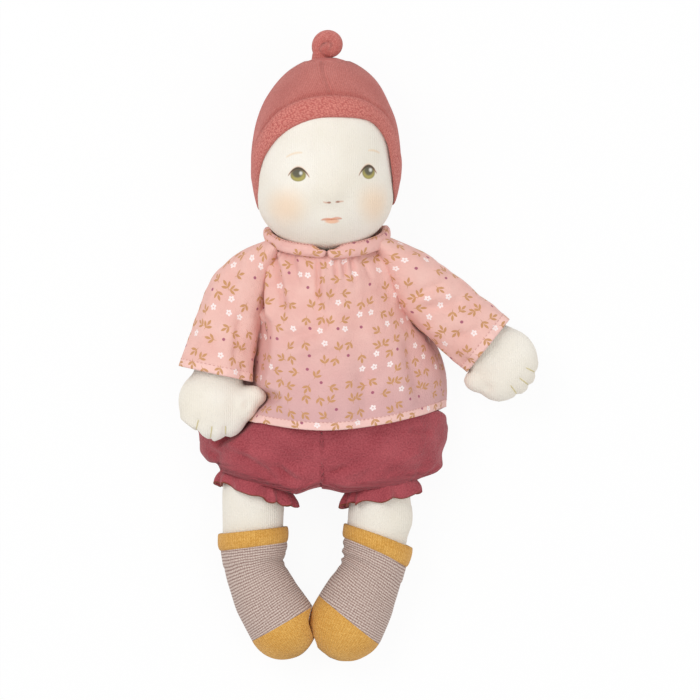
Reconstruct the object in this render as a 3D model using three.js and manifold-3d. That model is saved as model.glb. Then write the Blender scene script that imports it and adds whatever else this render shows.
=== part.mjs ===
// A soft cloth doll in a knitted cap, gathered blouse, bloomers and striped socks, lying on its
// back. Lengths are in millimetres: +Z is up, out of the doll's front, +Y runs to the crown of the
// head and +X to the doll's own left hand. The origin is on the back of the blouse, on the surface
// that the doll lies on.

import * as THREE from 'three';
import Module from 'manifold-3d';

const wasm = await Module();
wasm.setup();

// Driving dimensions

const clearance = 0.4;          // air between two cloth pieces that touch
const knitWall = 1.8;           // cap and brim
const gauzeWall = 1.5;          // blouse, sleeves, bloomers and frills
const sockWall = 1.2;
const elasticWall = 1;
const pressedFlat = 0.5;        // how far the floor flattens a soft piece
const beyond = 250;             // further from the origin than any piece, for cuts

const headAxisZ = 43;           // height of the head's middle over the floor
const headPivotY = 88;          // the head nods about its own middle
const headBallRadius = 39.8;    // no part of the head's lower half is further from the pivot
const collarToHead = 2;         // air that lets the head turn and nod
const necklineToHead = 3.4;
const neckRadius = 12;
const neckLength = 13;
const torsoTopY = 40.5;

const faceHalfWidth = 35;       // opening of the cap
const faceTopY = 120;
const capRimY = 72;             // lower edge of the cap at the cheeks
const napeRise = 4;             // the rim runs this much higher at the back of the head
const brimWidth = 12;
const brimSideZ = 44;           // the turned-up brim ends here beside the head
const brimProud = 0.8;          // the brim is a double layer of knit

const shoulderX = 43.5;
const shoulderZ = 33;
const armRadius = 12.5;
const armLength = 86;
const handHalfWidth = 17;
const handHalfDepth = 12.5;
const thumbRadius = 6;
const sleeveRadius = 16;        // at the shoulder
const armHole = 12;             // the sleeve is cut off flat this far from the shoulder's centre
const armToSide = 1;            // air between the right sleeve and the clothes under it

// The doll's own right arm lies over its side; the left one is spread
const rightArm = { side: -1, shoulderY: 32, spread: 15, rise: 18, sleeveLength: 50, thumbY: -57.5 };
const leftArm = { side: 1, shoulderY: 36.5, spread: 49, rise: -10, sleeveLength: 57, thumbY: -64.5 };

const blouseHalfWidth = 64.7;
const hemY = -45;               // lowest point of the hem, at the middle of the front
const hemRise = 12;             // the hem is this much higher at the sides
const collarThickness = 4.6;
const collarWidth = 7;
const collarMiddle = { y: 50.5, sideY: 59.5, z: 34, halfWidth: 31, halfDepth: 26 };

const crotchX = -1.6;
const bloomersEndY = -70;
const waistY = -22;
const elasticWidth = 5;
const frillLength = 11;
const frillFlare = 2.8;
const frillWaves = 11;
const frillWave = 1.1;

const hipY = -62;
const hipZ = 27;
const legRadius = 16.5;
const sockTopY = -100.5;
const cuffLength = 9;
const toesMeetX = -7.4;         // the two feet press against each other here
const rightLeg = {
  side: -1, hipX: -37.9, toeNormal: [0.5, -0.866], toeOffset: 117,
  path: [[-37.9, hipY, hipZ, 16.5, 16.5], [-38.2, -84, 24, 16.5, 16.3], [-38.4, -104, 20.6, 16, 15.5],
    [-37.4, -119, 18.4, 14.3, 14.6], [-31.5, -135, 17.2, 15.2, 15.4], [-22.6, -147.6, 17.1, 16, 15.7]],
};
const leftLeg = {
  side: 1, hipX: 29.7, toeNormal: [-0.632, -0.775], toeOffset: 105.3,
  path: [[29.7, hipY, hipZ, 16.5, 16.5], [28.8, -84, 24, 16.5, 16.3], [27.6, -104, 20.6, 16, 15.5],
    [25.2, -119, 18.4, 15, 14.6], [18.5, -135, 17.2, 17.2, 15.4], [11.2, -146.6, 17.1, 17.8, 15.7]],
};

// Materials

const cloth = (color) => new THREE.MeshStandardMaterial({ color, roughness: 0.9, metalness: 0 });
const skin = cloth(0xf1ebde);
const coralKnit = cloth(0xc9706b);
const pinkGauze = cloth(0xedc0b8);
const raspberryGauze = cloth(0xa34a56);
const stripedKnit = cloth(0xb5a29d);
const mustardKnit = cloth(0xd8a146);
const whiteElastic = cloth(0xf3f0ea);

// Solids

const { Manifold, Mesh: SolidMesh } = wasm;

function closedSolid(points, triangles) {
  const solid = (order) => new Manifold(new SolidMesh({
    numProp: 3,
    vertProperties: Float32Array.from(points.flatMap((p) => [p.x, p.y, p.z])),
    triVerts: Uint32Array.from(triangles.flatMap(([a, b, c]) => (order > 0 ? [a, b, c] : [a, c, b]))),
  }));
  const asGiven = solid(1);
  return asGiven.volume() > 0 ? asGiven : solid(-1);
}

// A soft form drawn through rings. A ring reaches width to both sides along across, up along rise
// and down against it; power 2 makes it an ellipse, more makes it fuller and less makes it leaner.
// The form is closed at the centres of its first and last rings. The shape function moves points.
function softForm(rings, { sides = 20, shape = () => {} } = {}) {
  const points = [];
  const triangles = [];
  for (const { at, across, rise, width, up, down, power = 2, powerDown = power, wave = 0, waves = 0 } of rings) {
    for (let k = 0; k < sides; k += 1) {
      const turn = (2 * Math.PI * k) / sides;
      const ripple = 1 + wave * Math.cos(waves * turn);
      const exponent = 2 / (Math.sin(turn) > 0 ? power : powerDown);
      const reach = (part) => Math.sign(part) * Math.abs(part) ** exponent * ripple;
      const height = Math.sin(turn) > 0 ? up : down;
      points.push(at.clone()
        .addScaledVector(across, width * reach(Math.cos(turn)))
        .addScaledVector(rise, height * reach(Math.sin(turn))));
    }
  }
  for (let i = 0; i + 1 < rings.length; i += 1) {
    for (let k = 0; k < sides; k += 1) {
      const next = (k + 1) % sides;
      const [a, b] = [i * sides + k, i * sides + next];
      triangles.push([a, b, a + sides], [b, b + sides, a + sides]);
    }
  }
  const last = (rings.length - 1) * sides;
  points.push(rings[0].at.clone(), rings.at(-1).at.clone());
  for (let k = 0; k < sides; k += 1) {
    const next = (k + 1) % sides;
    triangles.push([next, k, rings.length * sides], [last + k, last + next, rings.length * sides + 1]);
  }
  points.forEach(shape);
  return closedSolid(points, triangles);
}

const upward = new THREE.Vector3(0, 0, 1);
const sideways = new THREE.Vector3(1, 0, 0);

// Rings across the body from rows of [y, half width, lowest z, highest z]. The widest line of each
// ring is at the height edge, or half-way up.
function bodyRings(rows, { grow = 0, centreX = () => 0, edge, power = 2.2, powerDown = power, ...more } = {}) {
  return rows.map(([y, width, low, high]) => {
    const middle = edge ?? (low + high) / 2;
    return {
      at: new THREE.Vector3(centreX(y), y, middle), across: sideways, rise: upward,
      width: width + grow, up: high - middle + grow, down: middle - low + grow, power, powerDown, ...more,
    };
  });
}

// Rings along a limb from points of [x, y, z, half width, half depth], with round ends that
// reach one half width past the first and last points.
function limbRings(path, { grow = 0 } = {}) {
  const centres = path.map(([x, y, z]) => new THREE.Vector3(x, y, z));
  const rings = path.map(([, , , width, depth], i) => {
    const ahead = centres[Math.min(i + 1, path.length - 1)].clone()
      .sub(centres[Math.max(i - 1, 0)]).setZ(0).normalize();
    return {
      at: centres[i], ahead, across: new THREE.Vector3(ahead.y, -ahead.x, 0), rise: upward,
      width: width + grow, up: depth + grow, down: depth + grow,
    };
  });
  const cap = (ring, direction) => [0.38, 0.72, 0.93].map((share) => {
    const lean = (share * Math.PI) / 2;
    const shrink = Math.cos(lean);
    return {
      ...ring, at: ring.at.clone().addScaledVector(ring.ahead, direction * ring.width * Math.sin(lean)),
      width: ring.width * shrink, up: ring.up * shrink, down: ring.down * shrink,
    };
  });
  return [...cap(rings[0], -1).reverse(), ...rings, ...cap(rings.at(-1), 1)];
}

const onFloor = (p) => { p.z = Math.max(p.z, 0); };

// A ball whose facets all lie outside the radius
function ball(x, y, z, radius, sides = 24) {
  const outer = radius / Math.cos(Math.PI / sides) ** 2;
  const rings = [];
  for (let i = 1; i < sides / 2; i += 1) {
    const lean = (2 * Math.PI * i) / sides;
    const reach = outer * Math.sin(lean);
    rings.push({
      at: new THREE.Vector3(x, y + outer * Math.cos(lean), z), across: sideways, rise: upward,
      width: reach, up: reach, down: reach,
    });
  }
  return softForm(rings, { sides });
}

// Head: the lower half is nearly a ball about its pivot, so that it turns and nods in the collar

const headRows = [
  [148.8, 7, 7.5], [146.8, 14.3, 15.5], [142.5, 22, 24], [136, 28, 31.5], [127, 33.1, 36.8],
  [114, 36.5, 40.2], [100, 37.4, 40.8], [88, 37.5, 40.6], [78, 36.9, 38.6],
  [71, 35.3, 36], [65, 32.4, 32.6], [59, 27, 27], [53, 19.2, 19.2], [49.6, 9.6, 9.6],
];

const headForm = (grow) => softForm(headRows.map(([y, width, depth]) => ({
  at: new THREE.Vector3(0, y + Math.sign(y - headPivotY) * grow * (width < 20 ? 1 : 0), headAxisZ),
  across: sideways, rise: upward, width: width + grow, up: depth + grow, down: depth + grow,
})), { sides: 24 });

// Cap: below its widest place the inside runs straight down, so that the cap can be drawn off

const capRows = [[60, 37.5, 41], ...headRows.filter(([y]) => y < 95 && y > 62).reverse()
  .map(([y]) => [y, 37.5, 41]), ...headRows.filter(([y]) => y > 95).reverse()];

function capForm(grow, shape, rimTaper = 0) {
  return softForm(capRows.map(([y, width, depth]) => {
    const wall = grow - (y < capRimY + brimWidth ? rimTaper : 0);
    return {
      at: new THREE.Vector3(0, y + (width < 20 ? grow : 0), headAxisZ), across: sideways, rise: upward,
      width: width + wall, up: depth + wall, down: depth + wall,
    };
  }), { sides: 24, shape });
}

// An upright prism over an outline in the picture plane
function uprightPrism(outline, fromZ, toZ) {
  const depth = toZ - fromZ;
  const geometry = new THREE.ExtrudeGeometry(new THREE.Shape(outline), { depth, bevelEnabled: false });
  geometry.translate(0, 0, fromZ);
  const points = [];
  const seen = new Map();
  const position = geometry.getAttribute('position');
  const corner = (i) => {
    const key = [position.getX(i), position.getY(i), position.getZ(i)].map((v) => v.toFixed(4)).join();
    if (!seen.has(key)) {
      seen.set(key, points.length);
      points.push(new THREE.Vector3().fromBufferAttribute(position, i));
    }
    return seen.get(key);
  };
  const triangles = [];
  for (let i = 0; i < position.count; i += 3) {
    triangles.push([corner(i), corner(i + 1), corner(i + 2)]);
  }
  return closedSolid(points, triangles);
}

// The edge of the cap round the face: an arch that is a little lower at the doll's right
function faceArch(outset) {
  const outline = [];
  const arch = new THREE.CatmullRomCurve3([
    [-1.03, -70], [-1, -36], [-0.9, -21], [-0.61, -8], [-0.2, -1.5], [0.24, 0], [0.61, -2], [0.84, -10],
    [0.98, -24], [1.03, -40], [1.03, -70],
  ].map(([share, drop]) => new THREE.Vector3(share * faceHalfWidth, faceTopY + drop, 0)));
  for (let i = 0; i <= 22; i += 1) {
    const at = arch.getPoint(i / 22);
    const ahead = arch.getTangent(i / 22);
    outline.push(new THREE.Vector2(at.x - ahead.y * outset, at.y + ahead.x * outset));
  }
  return outline;
}

const rimTilt = new THREE.Vector3(0, headAxisZ * 2, napeRise).normalize();
const rimOffset = rimTilt.y * capRimY + rimTilt.z * headAxisZ;
const capTopZ = 2 * headAxisZ + 5;

const faceWindow = uprightPrism(faceArch(0), headAxisZ, capTopZ);
const brimArea = uprightPrism(faceArch(brimWidth), brimSideZ, capTopZ);
const brimAreaAndGap = uprightPrism(faceArch(brimWidth + clearance), brimSideZ - clearance, capTopZ);

function capShell(thickness) {
  const outside = capForm(clearance + thickness, onFloor, knitWall / 2);
  const inside = capForm(clearance, (p) => { p.y -= p.y < capRimY ? 10 : 0; });
  return outside.subtract(inside).trimByPlane([rimTilt.x, rimTilt.y, rimTilt.z], rimOffset).subtract(faceWindow);
}

function capCrown() {
  const napeBand = [rimTilt.x, rimTilt.y, rimTilt.z];
  return capShell(knitWall).subtract(brimAreaAndGap).trimByPlane(napeBand, rimOffset + brimWidth + clearance);
}

function capBrim() {
  const shell = capShell(knitWall + brimProud);
  const band = shell.subtract(shell.trimByPlane([rimTilt.x, rimTilt.y, rimTilt.z], rimOffset + brimWidth));
  return shell.intersect(brimArea).add(band);
}

function capKnot() {
  const capTopY = headRows[0][0] + clearance + knitWall;
  return softForm(limbRings([
    [-2.6, capTopY + 3.2, headAxisZ, 4, 4], [-1.5, capTopY + 5.4, headAxisZ + 0.5, 3.8, 4],
    [2.4, capTopY + 9.2, headAxisZ + 1, 6.6, 6.6], [3, capTopY + 10, headAxisZ + 1, 6.6, 6.6],
  ]), { sides: 14 }).subtract(capForm(clearance * 2 + knitWall));
}

// Arms, in a frame whose origin is the shoulder, with the hand along -Y

function armPath({ rise, side }, rows) {
  const tilt = rise / armLength;
  return rows.map(([y, width, depth, x = 0]) => [x * side, y, -y * tilt, width, depth]);
}

function arm(which) {
  const reach = -armLength + handHalfWidth - 1.5;
  const shoulderRadius = sleeveRadius - gauzeWall - clearance;
  const main = softForm(limbRings(armPath(which, [
    [0, shoulderRadius, shoulderRadius], [-18, armRadius, armRadius], [-42, armRadius, armRadius - 0.5],
    [-52, armRadius + 0.6, handHalfDepth - 0.8], [-60, handHalfWidth - 1, handHalfDepth],
    [reach, handHalfWidth - 1.5, handHalfDepth - 1],
  ])), { sides: 16 });
  const thumb = softForm(limbRings(armPath(which, [
    [which.thumbY - 5, thumbRadius + 1, thumbRadius + 1, -6], [which.thumbY, thumbRadius, thumbRadius, -17.5],
  ])), { sides: 10 });
  return main.add(thumb);
}

const sleeveRows = [[0, 0, 0], [-14, 1.4, -0.2], [-32, 2.4, 0.3], [-70, 4.4, 1.6]];
const sleeveForm = (which, inset) => softForm(limbRings(armPath(which, sleeveRows.map(([y, wider, deeper]) => [
  y, sleeveRadius + wider - inset, sleeveRadius + deeper - inset,
]))), { sides: 18 });

function sleeve(which) {
  const turn = (which.spread * Math.PI) / 180;
  return sleeveForm(which, 0).subtract(sleeveForm(which, gauzeWall))
    .trimByPlane([0, 1, 0], -which.sleeveLength)
    .trimByPlane([which.side * Math.cos(turn), -Math.sin(turn), 0], -armHole);
}

// The doll's right arm lies over its side. The clothes and the body leave it a hollow that is open
// to the outside, so that the arm can swing out. The depth is that of the cloth under the arm.
const hollowTopY = 15;
const hollowEndY = -53;
const hollowCorners = [[-29.6, -33], [-47, -44], [-56.5, hollowEndY]];

function armHollow(depth) {
  const { shoulderY, rise } = rightArm;
  const inner = hollowCorners.map(([x, y]) => [x + depth, y - depth]);
  const outline = [
    [-beyond, hollowTopY + depth], [inner[0][0], hollowTopY + depth], ...inner, [-beyond, hollowEndY - depth],
  ].map(([x, y]) => new THREE.Vector2(x, y));
  const slope = new THREE.Vector3(0, rise / armLength, 1);
  const underArm = shoulderZ + slope.y * shoulderY - sleeveRadius - armToSide - depth;
  return uprightPrism(outline, -beyond, beyond)
    .trimByPlane(slope.clone().normalize().toArray(), underArm / slope.length());
}

// Torso and neck

const torsoRows = [
  [torsoTopY, 20, 16, 50], [38, 25, 12.5, 53.5], [30, 29.5, 8.5, 57], [14, 32, 6.5, 58.5], [0, 36, 5.4, 59.5],
  [-15, 40.5, 5.4, 59.5], [waistY - 1, 42.5, 5.4, 59], [waistY - 8, 44, 5.4, 58], [-37, 44, 7, 55],
  [-42.5, 40, 12, 49], [-45.8, 31, 19, 40],
];
const torsoX = (y) => Math.min(0, (y - torsoTopY) * 0.045);
const torsoForm = (grow, rows = torsoRows) => softForm(
  bodyRings(rows, { grow, centreX: torsoX, power: 2.05 }), { sides: 24 });

function sleeveRoom(which) {
  const turn = which.side * which.spread;
  return sleeveForm(which, -clearance).rotate([0, 0, turn])
    .translate([which.side * shoulderX, which.shoulderY, shoulderZ]);
}

const shoulderRoom = (which) => sleeveRoom(which)
  .add(ball(which.side * shoulderX, which.shoulderY, shoulderZ, sleeveRadius + clearance));

const legForm = (leg, grow, sides = 16) => softForm(limbRings(leg.path, { grow }), {
  sides,
  shape: (p) => {
    p.z = Math.max(p.z, sockWall + clearance - grow);
    const meets = toesMeetX + leg.side * (clearance / 2 + sockWall + clearance - grow);
    p.x = leg.side > 0 ? Math.max(p.x, meets) : Math.min(p.x, meets);
  },
});

const underClothes = gauzeWall * 2 + clearance * 3 + elasticWall;

function torso() {
  return [rightArm, leftArm].reduce((body, which) => body.subtract(shoulderRoom(which)),
    [rightLeg, leftLeg].reduce((body, leg) => body.subtract(ball(leg.hipX, hipY, hipZ, legRadius + clearance)),
      torsoForm(0).subtract(armHollow(underClothes))));
}

function neck() {
  const rings = [0, neckLength].map((step) => ({
    at: new THREE.Vector3(0, torsoTopY + clearance + step, headAxisZ), across: sideways, rise: upward,
    width: neckRadius, up: neckRadius, down: neckRadius,
  }));
  return softForm(rings, { sides: 20 })
    .subtract(ball(0, headPivotY, headAxisZ, headBallRadius + clearance, 48));
}

const neckRoom = () => softForm([-20, 30].map((step) => ({
  at: new THREE.Vector3(0, torsoTopY + step, headAxisZ), across: sideways, rise: upward,
  width: neckRadius + clearance, up: neckRadius + clearance, down: neckRadius + clearance,
})), { sides: 20 });

// Blouse: a wide bell of thin cloth, gathered at the neck

const blouseRows = [
  [57, 25, 12, 51], [51, 33, 8, 56], [43, 40, 3.5, 60], [28, 45.5, 0, 62.5],
  [14, 51, -pressedFlat, 64.2], [-2, 60.5, -pressedFlat, 66],
  [-16, blouseHalfWidth, -pressedFlat, 67], [-32, blouseHalfWidth, -pressedFlat, 67],
  [-50, blouseHalfWidth, -pressedFlat, 66.6],
];
const bellEdge = (low, y) => Math.max(8, 30 - (57 - y) * 0.75);

function bellForm(rows, grow, { sides = 32, shape } = {}) {
  const rings = rows.map(([y, width, low, high]) => {
    const [ring] = bodyRings([[y, width, low, high]], { grow, edge: bellEdge(low, y), power: 1.9, powerDown: 3 });
    const fold = y > 40 ? 0.008 : 0.026;
    return { ...ring, wave: fold, waves: 8 };
  });
  return softForm(rings, { sides, shape });
}

function blouseBody() {
  const outside = bellForm(blouseRows, 0, { shape: onFloor }).subtract(armHollow(0));
  const insideRows = [[59, 23, 13, 50], ...blouseRows, [-60, blouseHalfWidth, -pressedFlat, 66.6]];
  const inside = bellForm(insideRows, -gauzeWall, { shape: (p) => { p.z = Math.max(p.z, gauzeWall - 0.2); } })
    .subtract(armHollow(gauzeWall));
  const hemRadius = (blouseHalfWidth ** 2 + hemRise ** 2) / (2 * hemRise);
  const arc = new THREE.EllipseCurve(0, hemY + hemRadius, hemRadius, hemRadius, -Math.PI * 0.64, -Math.PI * 0.36);
  const belowHem = [...arc.getPoints(24), new THREE.Vector2(beyond, -beyond), new THREE.Vector2(-beyond, -beyond)];
  return outside.subtract(inside)
    .subtract(uprightPrism(belowHem, -beyond, beyond))
    .subtract(shoulderRoom(rightArm)).subtract(shoulderRoom(leftArm))
    .subtract(headForm(necklineToHead)).subtract(neckRoom())
    .subtract(collarForm(1, clearance)).subtract(collarForm(-1, clearance));
}

// Each half of the collar is a puffy band that runs from the notch in front to the back of the neck
function collarForm(side, grow) {
  const rings = [];
  const [first, final, steps] = [0.04, 0.965, 11];
  for (let i = 0; i <= steps; i += 1) {
    const round = Math.PI * THREE.MathUtils.lerp(first, final, i / steps);
    const outward = new THREE.Vector3(side * Math.sin(round), 0, Math.cos(round));
    const { y, sideY, z, halfWidth, halfDepth } = collarMiddle;
    const rise = (sideY - y) * Math.min(1, (1 - Math.cos(round)) * 0.95);
    const end = Math.min(1, 0.55 + 1.2 * Math.min(i, steps - i));
    rings.push({
      at: new THREE.Vector3(1 + outward.x * halfWidth, y + rise, z + outward.z * halfDepth),
      across: outward, rise: new THREE.Vector3(0, 1, 0), width: (collarThickness / 2) * end + grow,
      up: (collarWidth / 2) * end + grow, down: (collarWidth / 2) * end + grow, power: 2.2,
    });
  }
  return softForm(rings, { sides: 10 });
}

const collar = (side) => collarForm(side, 0).subtract(headForm(collarToHead));

// Bloomers: two halves that meet at the middle seam, open at the waist and at each leg. A row is
// [y, half width, lowest z, highest z, height of the widest line, power].

const bloomersX = -1.3;
const bloomerRows = [
  [waistY, 46.3, 2, 62, 32, 2.06], [-30, 48.5, 1.9, 61.9, 30, 2], [-37, 59, 1.9, 61.6, 16, 1.8],
  [-42, 65, 1.9, 61, 12, 1.85], [-47.5, 66.5, 1.9, 60, 12, 1.9], [-52, 66, -pressedFlat, 58.5, 12, 1.9],
  [-58, 63.5, -pressedFlat, 56, 14, 1.9],
];
// The lower rows are round each leg: [y, outer x, inner x, lowest z, highest z]
const bloomerEnds = [[-65, 60, -4, -pressedFlat, 53, 18], [bloomersEndY, 55.5, 8.5, 2.5, 49, 25]];
const bloomerEndShift = (side) => (side > 0 ? 0 : 2);

function bloomersForm(side, inset) {
  const opened = inset > 0 ? [[waistY + 5, ...bloomerRows[0].slice(1)]] : [];
  const upper = [...opened, ...bloomerRows].map(([y, width, low, high, edge, power]) => (
    bodyRings([[y, width, low, high]], {
      grow: -inset, edge, power, powerDown: Math.max(power, 2.2), centreX: () => (y > -34 ? torsoX(y) : bloomersX),
    })[0]));
  const lower = bloomerEnds.map(([y, outer, inner, low, high, edge]) => {
    const centre = side * ((outer + inner) / 2 + bloomerEndShift(side));
    return bodyRings([[y + (y === bloomersEndY ? inset : 0), (outer - inner) / 2, low, high]], {
      grow: -inset, edge, power: 2.05, centreX: () => centre,
    })[0];
  });
  return softForm([...upper, ...lower], { sides: 28, shape: (p) => { p.z = Math.max(p.z, inset * 0.9); } })
    .subtract(armHollow(gauzeWall + clearance + inset));
}

function bloomers(side) {
  return [rightLeg, leftLeg].reduce((cloth, leg) => cloth.subtract(legForm(leg, clearance)),
    bloomersForm(side, 0).subtract(bloomersForm(side, gauzeWall)))
    .trimByPlane([side, 0, 0], side * crotchX + clearance / 2);
}

function waistElastic() {
  const rows = torsoRows.filter(([y]) => y < waistY + 10 && y > waistY - 18);
  const band = (grow) => torsoForm(grow, rows).subtract(armHollow(underClothes - grow));
  return band(clearance + elasticWall).subtract(band(clearance))
    .trimByPlane([0, -1, 0], -waistY + 1).trimByPlane([0, 1, 0], waistY - 1 - elasticWidth);
}

// Legs, with the pieces that go round them

const ofLeg = (solid, fromY, toY) => solid.trimByPlane([0, -1, 0], -fromY).trimByPlane([0, 1, 0], toY);

function legElastic(leg) {
  const ring = legForm(leg, clearance + elasticWall).subtract(legForm(leg, clearance));
  return ofLeg(ring, bloomersEndY - 1.5, bloomersEndY - 1.5 - elasticWidth);
}

function legCentre(leg, y) {
  const [hip, knee] = leg.path;
  const share = (y - hip[1]) / (knee[1] - hip[1]);
  return new THREE.Vector3(...hip.slice(0, 3)).lerp(new THREE.Vector3(...knee.slice(0, 3)), share).setY(y);
}

function frill(leg) {
  const rings = (grow) => [0, 0.5, 1].map((share) => {
    const flare = legRadius + clearance * 3 + elasticWall + gauzeWall + frillFlare * share ** 1.5 + grow;
    return {
      at: legCentre(leg, bloomersEndY - clearance - frillLength * share), across: sideways, rise: upward,
      width: flare, up: flare - 0.8 * share, down: flare - 0.8 * share,
      wave: (frillWave * (0.25 + 0.75 * share)) / flare, waves: frillWaves,
    };
  });
  const longer = (list) => {
    const [first, final] = [list[0], list.at(-1)];
    return [{ ...first, at: first.at.clone().setY(first.at.y + 2) }, ...list,
      { ...final, at: final.at.clone().setY(final.at.y - 2) }];
  };
  return softForm(rings(0), { sides: 33 }).subtract(softForm(longer(rings(-gauzeWall)), { sides: 33 }));
}

const sockShell = (leg, extra = 0) => legForm(leg, clearance + sockWall + extra).subtract(legForm(leg, clearance));
const toeSide = (leg, direction) => [leg.toeNormal[0] * direction, leg.toeNormal[1] * direction, 0];

const sockCuff = (leg) => ofLeg(sockShell(leg, 0.3), sockTopY, sockTopY - cuffLength);
const sockLeg = (leg) => ofLeg(sockShell(leg), sockTopY - cuffLength - clearance, -beyond)
  .trimByPlane(toeSide(leg, -1), -leg.toeOffset + clearance);
const sockToe = (leg) => sockShell(leg).trimByPlane(toeSide(leg, 1), leg.toeOffset);

// Assembly

const doll = new THREE.Group();

function addPiece(name, solid, material, parent = doll) {
  const { vertProperties, triVerts, numProp } = solid.getMesh();
  const positions = new Float32Array((vertProperties.length / numProp) * 3);
  for (let i = 0; i < positions.length; i += 1) {
    positions[i] = vertProperties[Math.floor(i / 3) * numProp + (i % 3)];
  }
  const geometry = new THREE.BufferGeometry();
  geometry.setAttribute('position', new THREE.BufferAttribute(positions, 3));
  geometry.setIndex(new THREE.BufferAttribute(triVerts, 1));
  geometry.computeVertexNormals();
  const mesh = new THREE.Mesh(geometry, material);
  mesh.name = name;
  parent.add(mesh);
}

addPiece('torso', torso(), skin);
addPiece('neck', neck(), skin);
addPiece('head', headForm(0), skin);

addPiece('cap_crown', capCrown(), coralKnit);
addPiece('cap_brim', capBrim(), coralKnit);
addPiece('cap_knot', capKnot(), coralKnit);

addPiece('blouse_body', blouseBody(), pinkGauze);

for (const [name, which] of [['right', rightArm], ['left', leftArm]]) {
  const shoulder = new THREE.Group();
  shoulder.position.set(which.side * shoulderX, which.shoulderY, shoulderZ);
  shoulder.rotation.z = THREE.MathUtils.degToRad(which.side * which.spread);
  addPiece(`${name}_arm`, arm(which), skin, shoulder);
  addPiece(`${name}_sleeve`, sleeve(which), pinkGauze, shoulder);
  doll.add(shoulder);
  addPiece(`${name}_collar`, collar(which.side), pinkGauze);
}

for (const [name, leg] of [['right', rightLeg], ['left', leftLeg]]) {
  addPiece(`${name}_leg`, legForm(leg, 0), skin);
  addPiece(`bloomers_${name}`, bloomers(leg.side), raspberryGauze);
  addPiece(`${name}_leg_elastic`, legElastic(leg), whiteElastic);
  addPiece(`${name}_frill`, frill(leg), raspberryGauze);
  addPiece(`${name}_sock_cuff`, sockCuff(leg), mustardKnit);
  addPiece(`${name}_sock_leg`, sockLeg(leg), stripedKnit);
  addPiece(`${name}_sock_toe`, sockToe(leg), mustardKnit);
}

addPiece('waist_elastic', waistElastic(), whiteElastic);

doll.updateMatrixWorld(true);

export default doll;
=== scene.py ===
# %% [markdown]
# # A cloth doll
# A soft baby doll lies on its back on a white table: a stuffed jersey body, a knitted cap with a
# knot, a gathered print blouse, frilled bloomers and striped socks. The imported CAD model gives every
# piece its size, its place and its joints. This notebook gives the pieces their cloth.
# All sizes here are in millimetres until a piece is made, and then in metres.

# %% Tools and frame
import math
from itertools import accumulate

import bmesh
import bpy
from mathutils import Matrix, Vector, noise
from mathutils.bvhtree import BVHTree
from mathutils.kdtree import KDTree


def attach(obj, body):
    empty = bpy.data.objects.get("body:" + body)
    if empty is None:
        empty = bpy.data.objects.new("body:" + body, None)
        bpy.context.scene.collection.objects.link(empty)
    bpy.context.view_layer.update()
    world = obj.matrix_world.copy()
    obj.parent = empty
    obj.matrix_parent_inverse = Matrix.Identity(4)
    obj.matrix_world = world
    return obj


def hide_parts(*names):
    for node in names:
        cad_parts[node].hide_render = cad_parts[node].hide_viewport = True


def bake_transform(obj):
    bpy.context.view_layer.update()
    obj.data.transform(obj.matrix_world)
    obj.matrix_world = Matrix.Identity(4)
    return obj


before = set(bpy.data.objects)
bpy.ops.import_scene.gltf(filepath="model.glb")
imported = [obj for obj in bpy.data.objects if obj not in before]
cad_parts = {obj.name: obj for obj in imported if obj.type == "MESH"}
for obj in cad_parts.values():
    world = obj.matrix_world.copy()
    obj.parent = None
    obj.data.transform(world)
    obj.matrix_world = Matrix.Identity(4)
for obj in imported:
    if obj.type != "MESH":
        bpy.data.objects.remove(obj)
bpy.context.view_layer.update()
MM = 0.001
TURN = 2 * math.pi

# %% [markdown]
# ## Small helpers
# A doll's form is soft, so its sizes are tables of a few rows with a smooth curve through them.
# Folds and gathers are waves on top of that form.

# %% Smooth curves through tables


def smooth_step(low, high, value):
    """0 below low, 1 above high, and a soft rise in between."""
    share = min(1.0, max(0.0, (value - low) / (high - low)))
    return share * share * (3 - 2 * share)


def smooth_rows(rows, key):
    """The values of the rows [key, value, ...] at key, on a smooth curve. The keys run up or down."""
    if rows[0][0] > rows[-1][0]:
        rows = rows[::-1]
    key = min(max(key, rows[0][0]), rows[-1][0])
    i = max(k for k in range(len(rows) - 1) if rows[k][0] <= key)
    before, start, end = rows[max(i - 1, 0)], rows[i], rows[i + 1]
    after = rows[min(i + 2, len(rows) - 1)]
    length = end[0] - start[0]
    t = (key - start[0]) / length
    values = []
    for a, b, c, d in zip(before[1:], start[1:], end[1:], after[1:]):
        leave = (c - a) / (end[0] - before[0]) * length
        arrive = (d - b) / (after[0] - start[0]) * length
        values.append(
            b * (2 * t**3 - 3 * t**2 + 1) + leave * (t**3 - 2 * t**2 + t)
            + c * (3 * t**2 - 2 * t**3) + arrive * (t**3 - t**2)
        )
    return values


def power_point(turn, width, up, down, power_up=2.0, power_down=2.0):
    """A point of a soft oval: how far it lies across and above its middle."""
    side, lift = math.cos(turn), math.sin(turn)
    power = power_up if lift > 0 else power_down
    across = math.copysign(abs(side) ** (2 / power), side) * width
    above = math.copysign(abs(lift) ** (2 / power), lift) * (up if lift > 0 else down)
    return across, above


def crinkle(x, y, z, size, seed=0.0):
    """Soft noise from -1 to 1 with lumps of about that size."""
    return noise.noise(Vector((x / size, y / size, z / size + seed)))


def creases(x, y, folds):
    """The height that folds add at a place. A fold is a line, its width, and its height or depth."""
    total = 0.0
    for (x0, y0), (x1, y1), width, height in folds:
        run, rise = x1 - x0, y1 - y0
        length = math.hypot(run, rise)
        along = ((x - x0) * run + (y - y0) * rise) / length**2
        away = ((x - x0) * rise - (y - y0) * run) / length
        ends = smooth_step(-0.12, 0.2, along) * smooth_step(1.12, 0.75, along)
        total += height * math.exp(-((away / width) ** 2)) * ends
    return total


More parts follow.
